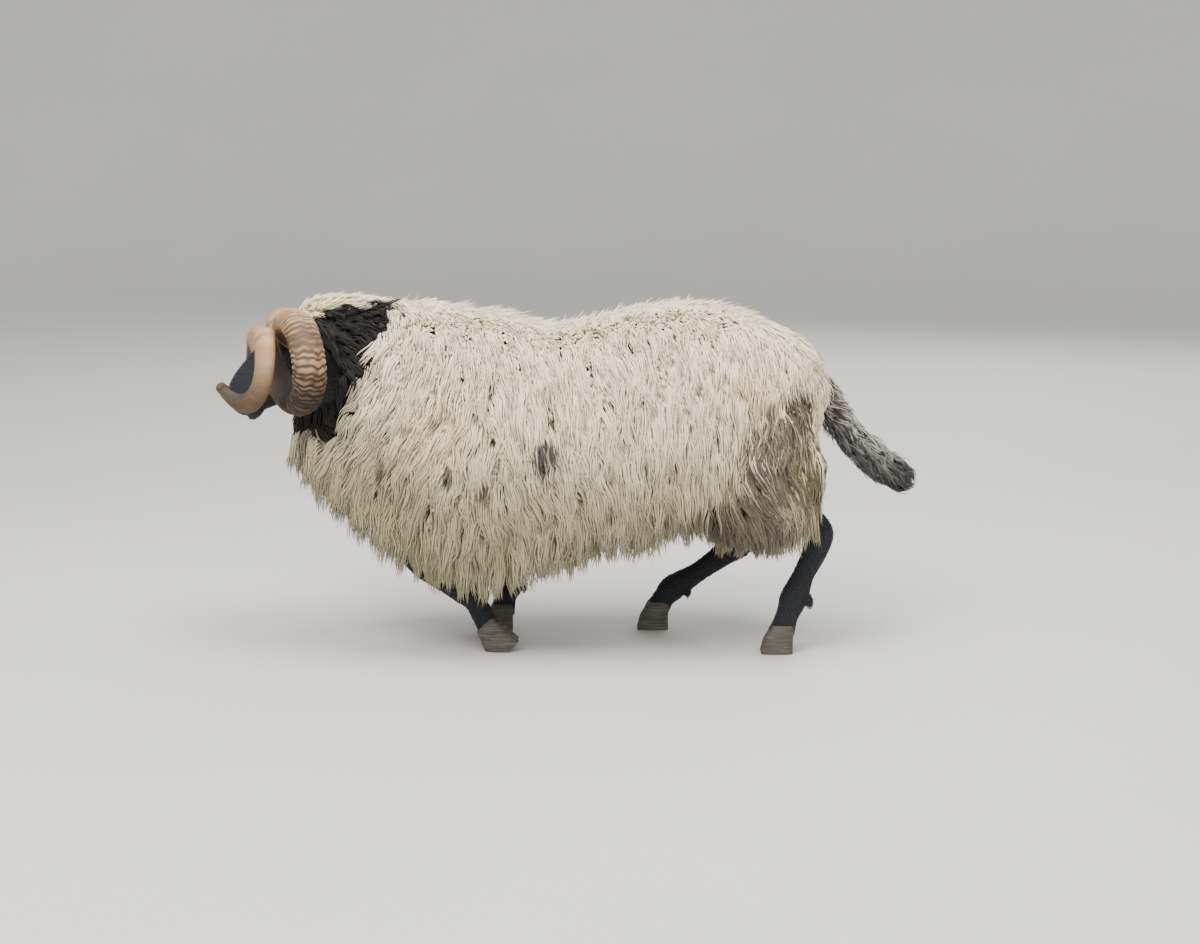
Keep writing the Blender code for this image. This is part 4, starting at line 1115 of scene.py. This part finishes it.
def comb(roots, lengths, rise, top_share, lie, draw, swing, falls=-0.55, falling=(0.0, 0.0, -1.0)):
    """The centre line of each lock: it leaves the skin, follows it, and hangs where it ends."""
    foot, normal = roots["place"].copy(), roots["normal"].copy()
    count = len(foot)
    falls, falling = np.broadcast_to(falls, count), np.broadcast_to(falling, (count, 3))
    clings = np.where(falls < -0.6, falls, -0.30)
    turns = draw.normal(0, swing, (count, 1))
    hanging = np.zeros(count, bool)
    heading = None
    lines, overs = [], []
    for k in range(LOCK_STATIONS):
        share = k / (LOCK_STATIONS - 1)
        lying = min(1.0, share / 0.30) ** 0.7
        standing = 1.08 * share ** 0.8
        height = rise * (lying + (standing - lying) * top_share) if k else np.full(count, -0.005)
        lines.append(foot + normal * height[:, None])
        overs.append(normal.copy())
        way = along_skin(lie(foot, normal), normal)
        down = hanging | (normal[:, 2] < falls)
        way[down] = falling[down]
        way = unit(way)
        way = unit(way + np.cross(normal, way) * turns)
        heading = way if heading is None else unit(way + heading)
        foot = foot + heading * (lengths / (LOCK_STATIONS - 1))[:, None]
        found = [skin_tree.find_nearest(Vector(place))[:2] for place in foot]
        near = np.array([tuple(place) for place, facing in found])
        facing = np.array([tuple(way) for place, way in found])
        close = np.linalg.norm(near - foot, axis=1) < 0.02
        held = close & (facing[:, 2] > clings) & ((facing * normal).sum(1) > 0.2)
        hanging |= ~held
        free = hanging[:, None]
        foot = np.where(free, foot, near)
        normal = np.where(free, normal, unit(normal + facing))
    return np.stack(lines, 1), np.stack(overs, 1)


def bundle(lines, overs, lengths, form, draw):
    """Staples round each centre line: arrays of their rings of points, waving in step."""
    count, staples, rings = len(lines), form["staples"], form["rings"]
    spread = (count, staples)
    reach = draw.uniform(*form["reach"], spread)
    shares = np.linspace(0, 1, rings)
    at = reach[:, :, None] * shares * (LOCK_STATIONS - 1)
    first = np.clip(np.floor(at).astype(int), 0, LOCK_STATIONS - 2)
    part = (at - first)[..., None]
    lock = np.arange(count)[:, None, None]
    centre = lines[lock, first] * (1 - part) + lines[lock, first + 1] * part
    tangent = unit(lines[lock, first + 1] - lines[lock, first])
    over = overs[lock, first] * (1 - part) + overs[lock, first + 1] * part
    across = unit(np.cross(tangent, over))
    over = np.cross(across, tangent)
    angle = draw.uniform(0, 2 * math.pi, spread)
    radius = np.sqrt(draw.random(spread))
    out_across = (radius * np.cos(angle))[..., None] * form["width"] / 2
    out_over = (radius * np.sin(angle))[..., None] * form["depth"] / 2
    gather = 1 - form["gather"] * shares ** 1.4
    phase = draw.uniform(0, 2 * math.pi, count)[:, None, None] + draw.normal(0, 0.35, spread)[..., None]
    waves_in = lengths[:, None, None] / draw.uniform(*form["wave"], count)[:, None, None]
    phase = phase + 2 * math.pi * waves_in * at / (LOCK_STATIONS - 1)
    sway = draw.uniform(*form["sway"], count)[:, None, None] * draw.uniform(0.6, 1.3, spread)[..., None]
    sway = sway * np.clip(shares * 3, 0, 1)
    stray = draw.normal(0, form["stray"], (2, *spread))[..., None] * shares ** 2
    side = out_across * gather + sway * np.sin(phase) + stray[0]
    lift = out_over * gather + 0.45 * sway * np.cos(phase) + stray[1]
    centre = centre + across * side[..., None] + over * lift[..., None]
    taper = np.interp(shares, (0, 0.25, 0.55, 0.85, 1), (0.8, 1.0, 0.92, 0.50, 0.0))
    size = taper[None, None, :] * draw.uniform(0.75, 1.25, spread)[..., None]
    points = []
    for corner in STAPLE_CORNERS:
        points.append(
            centre + across * (size * form["thick"][0] * math.cos(corner))[..., None]
            + over * (size * form["thick"][1] * math.sin(corner))[..., None]
        )
    return np.stack(points, 3)


def coat_piece(name, rings, roots, draw, paint):
    """Makes one mesh of closed three-sided staples from their rings, with what its finish reads."""
    locks, staples, count = rings.shape[:3]
    total = locks * staples
    body = rings[:, :, :-1].reshape(total, -1, 3)
    tips = rings[:, :, -1].mean(axis=2).reshape(total, 1, 3)
    points = np.concatenate([body, tips], 1)
    per = points.shape[1]
    quads = []
    for k in range(count - 2):
        for j in range(3):
            m = (j + 1) % 3
            quads.append((3 * k + j, 3 * k + m, 3 * k + 3 + m, 3 * k + 3 + j))
    last = 3 * (count - 2)
    tris = [(last + j, last + (j + 1) % 3, per - 1) for j in range(3)] + [(2, 1, 0)]
    pattern = np.array([i for face in quads + tris for i in face], np.int32)
    sizes = np.array([4] * len(quads) + [3] * len(tris), np.int32)
    starts = np.concatenate([[0], np.cumsum(sizes)[:-1]])
    corners_each = len(pattern)
    mesh = bpy.data.meshes.new(name)
    mesh.vertices.add(total * per)
    mesh.vertices.foreach_set("co", points.astype(np.float32).ravel())
    mesh.loops.add(total * corners_each)
    shift = np.arange(total, dtype=np.int32)[:, None]
    mesh.loops.foreach_set("vertex_index", (pattern[None] + shift * per).ravel())
    mesh.polygons.add(total * len(sizes))
    mesh.polygons.foreach_set("loop_start", (starts[None] + shift * corners_each).astype(np.int32).ravel())
    mesh.polygons.foreach_set("use_smooth", np.ones(total * len(sizes), bool))
    along = np.concatenate([np.repeat(np.linspace(0, 1, count)[:-1], 3), [1.0]])
    lot, fine = draw.random(locks), draw.random(total)
    kept = {
        "along": np.tile(along, total),
        "lot": np.repeat(lot, staples * per),
        "fine": np.repeat(fine, per),
    }
    for key, values in kept.items():
        mesh.attributes.new(key, "FLOAT", "POINT").data.foreach_set("value", values.astype(np.float32))
    root = np.repeat(roots["place"], staples * per, axis=0).astype(np.float32)
    mesh.attributes.new("root", "FLOAT_VECTOR", "POINT").data.foreach_set("vector", root.ravel())
    ring_number = np.concatenate([np.repeat(np.arange(count - 1), 3), [count - 1]]) / (count - 1)
    ring_corner = np.concatenate([np.tile(np.arange(3), count - 1), [1]]) / 2
    patch = np.stack([ring_corner, ring_number], 1)[pattern] * 0.003
    flat = np.repeat(roots["flat"], staples, axis=0)[:, None] + patch[None]
    mesh.uv_layers.new(name="OFBake").data.foreach_set("uv", flat.astype(np.float32).ravel())
    mesh.update(calc_edges=True)
    made = bpy.data.objects.new(name, mesh)
    bpy.context.scene.collection.objects.link(made)
    mesh.materials.append(paint)
    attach(made, "root")
    return made


def smooth_step(values, low, high):
    t = np.clip((values - low) / (high - low), 0, 1)
    return t * t * (3 - 2 * t)


def ahead_of_collar(places):
    """How far places are in front of the fleece's edge on the neck, over the throat."""
    front, over = [(places - np.array(edge)) @ np.array(facing) for edge, facing in (COLLAR, THROAT)]
    return np.minimum(front, over)


def far_from_tail(places):
    return np.linalg.norm(places - np.array(TAIL_ROOT), axis=1)


def fleece_grows(places, kind):
    off_tail = far_from_tail(places) > TAIL_BARE
    return (kind < 0.5) * (ahead_of_collar(places) < 0.0) * off_tail


def fleece_lie(places, normals):
    """Down and with the sweep of that part of the body; off the spine to each side."""
    stations, above, below = np.array(SWEEP).T
    high = np.interp(places[:, 0], stations, above)
    low = np.interp(places[:, 0], stations, below)
    sweep = low + (high - low) * smooth_step(places[:, 2], 0.30, 0.42)
    sweep -= 3.0 * np.clip(places[:, 2] - 0.46, 0, 1) * (places[:, 0] < -0.30)
    sweep -= 0.9 * smooth_step(places[:, 0], 0.42, 0.47) * smooth_step(places[:, 2], 0.39, 0.44)
    top = np.clip(normals[:, 2], 0, 1)
    side = np.clip(places[:, 1] / 0.075, -1, 1)
    back = sweep * (1 - top) + (0.75 - 0.35 * np.abs(side)) * top
    return np.stack([back, side * top, np.full(len(top), -1.0)], 1)


def wool_finish(name, sheen):
    """Matte wool that darkens to its roots, a painted shade among the locks, with each staple its own tone.
    """
    made, flow, shader = finish_of(name, 0.85, sheen, (0.95, 0.90, 0.80))
    place, along = own(flow, "root", True), own(flow, "along")
    lot, fine = own(flow, "lot"), own(flow, "fine")
    here = position(flow)
    colour = wool_colour(place, lot * 0.5 + fine * 0.5, here, fine * 0.7 + lot * 0.3)
    # Darker towards each staple's root: painted shade among the locks, less of it on the upper flank. Some
    # staples are also darker in their own tone.
    even = 1.0 - here.along((0.0, 0.0, 1.0)).rising(0.38, 0.52) * 0.60
    painted_shade_and_tone = (along.rising(0.60, 0.0) * 0.34 + fine.rising(0.7, 1.0) * 0.30) * even
    deep = colour * (0.78, 0.74, 0.67)
    colour = painted_shade_and_tone.clipped().blend(colour, deep)
    plug(flow, colour, shader, "Base Color")
    bumped(flow, shader, 0.4, 0.0006, here.noise(900.0, 1.0))
    return made


FLEECE_DRAWS = 24000
# The room between roots on the belly and the flanks, and how much closer they are on the back
BELLY_SPACING = 0.032
FLANK_SPACING = 0.0182
BACK_CLOSER = 0.0034
# Lengths of the locks by the height of their roots, and of those on top of the back
LOCK_LENGTHS = ((0.20, 0.35, 0.50, 0.62), (0.130, 0.125, 0.105, 0.080))
TOP_LENGTH = 0.060
SHORTEST_LOCK = 0.034
long_wool = wool_finish("long_wool", 0.30)
draw = np.random.default_rng(21)
roots = draw_roots(FLEECE_DRAWS, draw, fleece_grows)
underside = roots["normal"][:, 2] < -0.55
closer = BACK_CLOSER * smooth_step(roots["normal"][:, 2], 0.35, 0.70)
spacing = np.where(underside, BELLY_SPACING, FLANK_SPACING - closer)
roots["top"] = smooth_step(roots["normal"][:, 2], 0.88, 1.00) * 0.8
roots = thinned(roots, spacing)
places, normals, top_share = roots["place"], roots["normal"], roots["top"]
lengths = np.interp(places[:, 2], *LOCK_LENGTHS)
lengths = lengths + 0.020 * (places[:, 0] < -0.33)
lengths = lengths * (1 - top_share) + TOP_LENGTH * top_share
lengths *= draw.uniform(0.85, 1.15, len(lengths))
room = places[:, 2] - hem(places[:, 0]) - draw.uniform(0, 0.022, len(lengths))
lengths = np.minimum(lengths, np.maximum(room, SHORTEST_LOCK))
by_collar = smooth_step(ahead_of_collar(places), -0.07, -0.01) * (places[:, 2] > 0.44)
lengths *= 1 - 0.50 * by_collar
from_tail = far_from_tail(places)
lengths *= 0.42 + 0.58 * smooth_step(from_tail, 0.06, 0.16)
rise = 0.028 + 0.004 * top_share + draw.uniform(-0.004, 0.004, len(lengths))
rise *= 0.70 + 0.30 * smooth_step(from_tail, 0.04, 0.10)
tuck = smooth_step(places[:, 0], 0.42, 0.46) * smooth_step(places[:, 2], 0.40, 0.45)
rise *= 1 - 0.40 * tuck * (1 - top_share)
rise = np.minimum(rise, (0.36 + 0.25 * top_share) * lengths)
falls = np.where((places[:, 0] > 0.42) & (places[:, 2] > 0.34), -0.92, -0.55)
falling = np.stack([-1.1 * tuck, 0 * tuck, -1 + 0 * tuck], 1)
lines, overs = comb(roots, lengths, rise, top_share, fleece_lie, draw, 0.12, falls, falling)
FLANK_LOCK = {
    "staples": 20, "rings": 6, "reach": (0.66, 1.05), "width": 0.032, "depth": 0.014,
    "gather": 0.62, "wave": (0.045, 0.080), "sway": (0.0020, 0.0050), "stray": 0.0045,
    "thick": (0.0021, 0.0014),
}
BACK_LOCK = {
    "staples": 19, "rings": 5, "reach": (0.60, 1.10), "width": 0.028, "depth": 0.014,
    "gather": 0.40, "wave": (0.060, 0.100), "sway": (0.0015, 0.0040), "stray": 0.0055,
    "thick": (0.0019, 0.0013),
}
on_back = normals[:, 2] > 0.58
for name, chosen, form, count in (
    ("fleece", ~on_back, FLANK_LOCK, 6),
    ("back_fleece", on_back, BACK_LOCK, 2),
):
    order = np.flatnonzero(chosen)
    order = order[np.argsort(places[order, 0])]
    for number, band in enumerate(np.array_split(order, count), 1):
        part = {key: values[band] for key, values in roots.items()}
        rings = bundle(lines[band], overs[band], lengths[band], form, draw)
        piece = coat_piece(f"{name}_{number}", rings, part, draw, long_wool)

# UNDER WOOL
# Short dense wool that fills the room between the roots of the fleece's locks. It is made of single
# tufts that lie along the skin, and is thickest on the spine.
UNDER_DRAWS = 13600
UNDER_TUFT = {
    "heights": (-0.004, 0.016, 0.024, 0.027), "thick": (0.0072, 0.0046), "sizes": (1.0, 1.0, 0.75, 0.0),
}


def short_tufts(roots, way, long, heights, thick, sizes, tall=1.0):
    """Rings of points of single tufts that lean along the skin; heights are over their length."""
    places, normals = roots["place"], roots["normal"]
    shares = np.linspace(0, 1, len(heights))
    centre = places[:, None] + way[:, None] * (long[:, None] * shares)[..., None]
    tall = np.broadcast_to(tall, len(places))[:, None, None]
    centre = centre + normals[:, None] * np.array(heights)[None, :, None] * tall
    across = np.cross(way, normals)[:, None]
    size = np.array(sizes)[None, :, None]
    points = []
    for corner in STAPLE_CORNERS:
        points.append(
            centre + across * size * thick[0] * math.cos(corner)
            + normals[:, None] * size * thick[1] * math.sin(corner)
        )
    return np.stack(points, 2)[:, None]


def under_grows(places, kind):
    """Denser where the sides turn to the back and the long locks part, most of all on the spine."""
    high = 1 + 1.8 * smooth_step(places[:, 2], 0.50, 0.56)
    spine = 1 + 2.6 * (np.abs(places[:, 1]) < 0.05) * (places[:, 2] > 0.48)
    return (kind < 0.5) * (ahead_of_collar(places) < 0.004) * high * spine


draw = np.random.default_rng(25)
roots = draw_roots(UNDER_DRAWS, draw, under_grows)
roots = {key: values[roots["normal"][:, 2] > -0.6] for key, values in roots.items()}
way = fleece_lie(roots["place"], roots["normal"]) + draw.normal(0, 0.25, roots["place"].shape)
way = unit(along_skin(way, roots["normal"]))
long = draw.uniform(0.022, 0.036, len(way))
tall = 0.42 + 0.58 * smooth_step(far_from_tail(roots["place"]), 0.06, 0.18)
tall *= 1 - 0.55 * smooth_step(ahead_of_collar(roots["place"]), -0.07, -0.01)
rings = short_tufts(roots, way, long, **UNDER_TUFT, tall=tall)
under = coat_piece("under_wool", rings, roots, draw, long_wool)

# COLLAR AND POLL
# Black wool on the neck between the horns and the fleece, lying back over the collar and hanging
# at the throat, with a white patch on the poll. It is shorter and closer than the fleece.
MANE_DRAWS = 6000
MANE_SPACING = 0.0125
MANE_LENGTHS = ((0.42, 0.60, 0.66), (0.075, 0.058, 0.034))
MANE_RISE = 0.015


def mane_grows(places, kind):
    """On the neck in front of the fleece, and on the head behind the face."""
    face = in_face(places)
    ahead = ahead_of_collar(places)
    neck = (ahead > -0.012) * (kind < 0.5)
    behind = (face[:, 0] < 0.030) * (face[:, 1] > -0.03) * (ahead > 0) * (kind > 0.5)
    return neck + behind * (places[:, 0] < -0.44) * (places[:, 2] < 0.615)


def mane_lie(places, normals):
    return np.tile((0.9, 0.0, -0.8), (len(places), 1))


draw = np.random.default_rng(22)
roots = thinned(draw_roots(MANE_DRAWS, draw, mane_grows), np.full(MANE_DRAWS, MANE_SPACING))
places = roots["place"]
lengths = np.interp(places[:, 2], *MANE_LENGTHS) * draw.uniform(0.8, 1.2, len(places))
rise = MANE_RISE * draw.uniform(0.8, 1.15, len(places))
lines, overs = comb(roots, lengths, rise, smooth_step(roots["normal"][:, 2], 0.5, 0.9), mane_lie, draw, 0.18)
MANE_LOCK = {
    "staples": 9, "rings": 6, "reach": (0.7, 1.05), "width": 0.017, "depth": 0.009,
    "gather": 0.72, "wave": (0.030, 0.055), "sway": (0.0010, 0.0032), "stray": 0.0026,
    "thick": (0.0019, 0.0012),
}
rings = bundle(lines, overs, lengths, MANE_LOCK, draw)
mane = coat_piece("neck_wool", rings, roots, draw, wool_finish("collar_wool", 0.06))

# TAIL HAIR
# The long undocked tail is bushy: coarse mixed grey hair that lies along it and droops.
# It is pale on top by the rump, and dark below and at the tip.
BRUSH_DRAWS = 2500
BRUSH_SPACING = 0.0085
BRUSH_LENGTHS = ((0.50, 0.58, 0.66), (0.045, 0.050, 0.028))
BRUSH_RISE = 0.012
TAIL_WAY = (0.74, 0.0, -0.67)


def tail_grows(places, kind):
    return kind > 1.5


def tail_lie(places, normals):
    return np.tile(TAIL_WAY, (len(places), 1))


tail_hair, flow, shader = finish_of("tail_hair", 0.8, 0.2)
place, along, fine = own(flow, "root", True), own(flow, "along"), own(flow, "fine")
colour = tail_colour(place, own(flow, "lot") * 0.4 + fine * 0.6)
# Darker towards the roots of the hair: painted shade among the hairs.
colour = (along.rising(0.7, 0.0) * 0.6).blend(colour, TAIL_DARK)
plug(flow, colour, shader, "Base Color")
draw = np.random.default_rng(23)
roots = thinned(draw_roots(BRUSH_DRAWS, draw, tail_grows), np.full(BRUSH_DRAWS, BRUSH_SPACING))
places = roots["place"]
lengths = np.interp(places[:, 0], *BRUSH_LENGTHS) * draw.uniform(0.75, 1.2, len(places))
rise = BRUSH_RISE * draw.uniform(0.8, 1.3, len(places))
lines, overs = comb(roots, lengths, rise, np.full(len(places), 0.5), tail_lie, draw, 0.2, -2.0, TAIL_WAY)
TAIL_LOCK = {
    "staples": 10, "rings": 7, "reach": (0.7, 1.05), "width": 0.013, "depth": 0.009,
    "gather": 0.70, "wave": (0.040, 0.070), "sway": (0.0010, 0.0035), "stray": 0.0040,
    "thick": (0.0014, 0.0010),
}
rings = bundle(lines, overs, lengths, TAIL_LOCK, draw)
brush = coat_piece("tail_brush", rings, roots, draw, tail_hair)

# SHORT HAIR
# Close black hair on the face, ears and legs: small flat tufts that lie down the face and legs.
# The skin is left bare round the eyes, in the nostrils and along the mouth.
HAIR_DRAWS = 15000
HAIR_LENGTHS = (0.0064, 0.0090)
HAIR_SHINE = (0.022, 0.025, 0.031)
HAIR_TUFT = {"heights": (-0.0006, 0.0007, -0.0001), "thick": (0.0009, 0.0004), "sizes": (0.8, 1.0, 0.0)}
BARE_EYE = 0.0175
BARE_NOSE = 0.0060
BARE_MOUTH = 0.0025


def short_grows(places, kind):
    return (kind > 0.5) * (kind < 1.5) * (places[:, 2] > 0.030)


short_hair, flow, shader = finish_of("short_hair", 0.6, 0.10)
place, along, fine = own(flow, "root", True), own(flow, "along"), own(flow, "fine")
# Lighter blue-grey tips on some hairs: a painted highlight on the black hair.
sheen = (fine.rising(0.6, 1.0) * 0.6 * along).clipped()
plug(flow, sheen.blend(BLACK_HAIR, HAIR_SHINE), shader, "Base Color")
draw = np.random.default_rng(24)
roots = draw_roots(HAIR_DRAWS, draw, short_grows)
places, normals = roots["place"], roots["normal"]
face = in_face(places)
axes = [np.array(a) for a in face_axes()]
on_head = (places[:, 0] < -0.40) & (places[:, 2] > 0.40)
on_ear = on_head & (np.abs(face[:, 2]) > 0.066) & (face[:, 0] < 0.062)
way = np.tile(np.array([0.10, 0.0, -1.0]), (len(places), 1))
cheek = smooth_step(-face[:, 1], 0.02, 0.07)[:, None]
way[on_head] = (axes[0] * (1 - 1.6 * cheek) - axes[1] * 0.5 * cheek)[on_head]
way[on_ear] = (axes[2] * np.sign(face[:, 2:3]) - axes[1] * 0.5)[on_ear]
way = unit(along_skin(way + draw.normal(0, 0.16, way.shape), normals))
long = np.where(on_head, *HAIR_LENGTHS) * draw.uniform(0.7, 1.3, len(places))
eyes = [np.array(on_face(EYE_PLACE[0], EYE_PLACE[1], side * EYE_PLACE[2])) for side in (-1, 1)]
near_eye = np.minimum(*[np.linalg.norm(places - eye, axis=1) for eye in eyes])
near_nose, near_mouth = [
    np.minimum(near_line(face, line), near_line(face * (1, 1, -1), line)) for line in (NOSTRIL, MOUTH)
]
long *= np.where(on_head, np.clip(np.minimum(near_eye / 0.035, near_mouth / 0.02), 0.35, 1), 1)
keep = (near_eye >= BARE_EYE) & (near_nose >= BARE_NOSE) & (near_mouth >= BARE_MOUTH)
roots = {key: values[keep] for key, values in roots.items()}
places, normals, way, long = places[keep], normals[keep], way[keep], long[keep]
flatter = np.where(on_head[keep], 0.55, 1.0)
rings = short_tufts(roots, way, long, **HAIR_TUFT, tall=flatter)
hair = coat_piece("face_and_leg_hair", rings, roots, draw, short_hair)

# FLOOR, LIGHT AND CAMERA
# A plain pale floor with a curved rise round it, soft studio lamps and the photo's low side view.
FLOOR_RADIUS = 7.0
FLOOR_PALE = ((0.60, 0.60, 0.59), (0.64, 0.635, 0.62))
CAMERA_PLACE = (0.064, -4.938, 1.116)
CAMERA_AIM = (0.064, 0.0, 0.334)
SENSOR_WIDTH = 36.0
IMAGE_WIDTH = 1200
FOCAL_PIXELS = 2564.1
bpy.ops.mesh.primitive_circle_add(vertices=96, radius=FLOOR_RADIUS, fill_type="NGON")
floor = bpy.context.object
floor.name = "pale_floor"
bpy.ops.object.mode_set(mode="EDIT")
for out, up in ((0.7, 0.05), (0.6, 0.18), (0.5, 0.34), (0.4, 0.52), (0.3, 0.75), (0.15, 1.1)):
    bpy.ops.mesh.select_mode(type="EDGE")
    bpy.ops.mesh.select_all(action="DESELECT")
    bpy.ops.object.mode_set(mode="OBJECT")
    rim = max(v.co.xy.length for v in floor.data.vertices)
    for edge in floor.data.edges:
        edge.select = all(floor.data.vertices[i].co.xy.length > rim - 0.01 for i in edge.vertices)
    bpy.ops.object.mode_set(mode="EDIT")
    bpy.ops.mesh.extrude_edges_move()
    bpy.ops.transform.resize(value=((rim + out) / rim, (rim + out) / rim, 1.0))
    bpy.ops.transform.translate(value=(0.0, 0.0, up))
bpy.ops.object.mode_set(mode="OBJECT")
bpy.ops.object.shade_smooth_by_angle(angle=math.radians(60))
pale, flow, shader = finish_of("pale_floor", 0.8)
here = position(flow)
plug(flow, here.noise(1.5, 2.0).blend(*FLOOR_PALE), shader, "Base Color")
floor.data.materials.append(pale)
for name, place, aim, size, watts, colour in (
    ("key_lamp", (-2.0, -3.4, 4.2), (0.0, 0.0, 0.35), 2.2, 270.0, (1.0, 0.96, 0.89)),
    ("front_lamp", (0.8, -5.6, 2.8), (0.0, 0.0, 0.35), 3.6, 150.0, (1.0, 0.98, 0.94)),
    ("top_lamp", (0.3, -0.6, 3.8), (0.0, 0.0, 0.40), 2.6, 180.0, (1.0, 0.98, 0.95)),
    ("rear_lamp", (1.4, 4.6, 3.0), (0.0, 0.0, 0.40), 3.0, 130.0, (1.0, 0.99, 0.97)),
):
    bpy.ops.object.light_add(type="AREA", location=place)
    lamp = bpy.context.object
    lamp.name = name
    lamp.data.energy = watts
    lamp.data.size = size
    lamp.data.color = colour
    lamp.rotation_euler = (Vector(aim) - Vector(place)).to_track_quat("-Z", "Y").to_euler()
world = bpy.data.worlds.new("studio")
world.use_nodes = True
world.node_tree.nodes["Background"].inputs["Color"].default_value = (0.88, 0.88, 0.875, 1.0)
world.node_tree.nodes["Background"].inputs["Strength"].default_value = 0.80
bpy.context.scene.world = world
bpy.ops.object.camera_add(location=CAMERA_PLACE)
camera = bpy.context.object
camera.name = "camera"
camera.rotation_euler = (Vector(CAMERA_AIM) - camera.location).to_track_quat("-Z", "Y").to_euler()
camera.data.sensor_width = SENSOR_WIDTH
camera.data.lens = SENSOR_WIDTH * FOCAL_PIXELS / IMAGE_WIDTH
bpy.context.scene.camera = camera
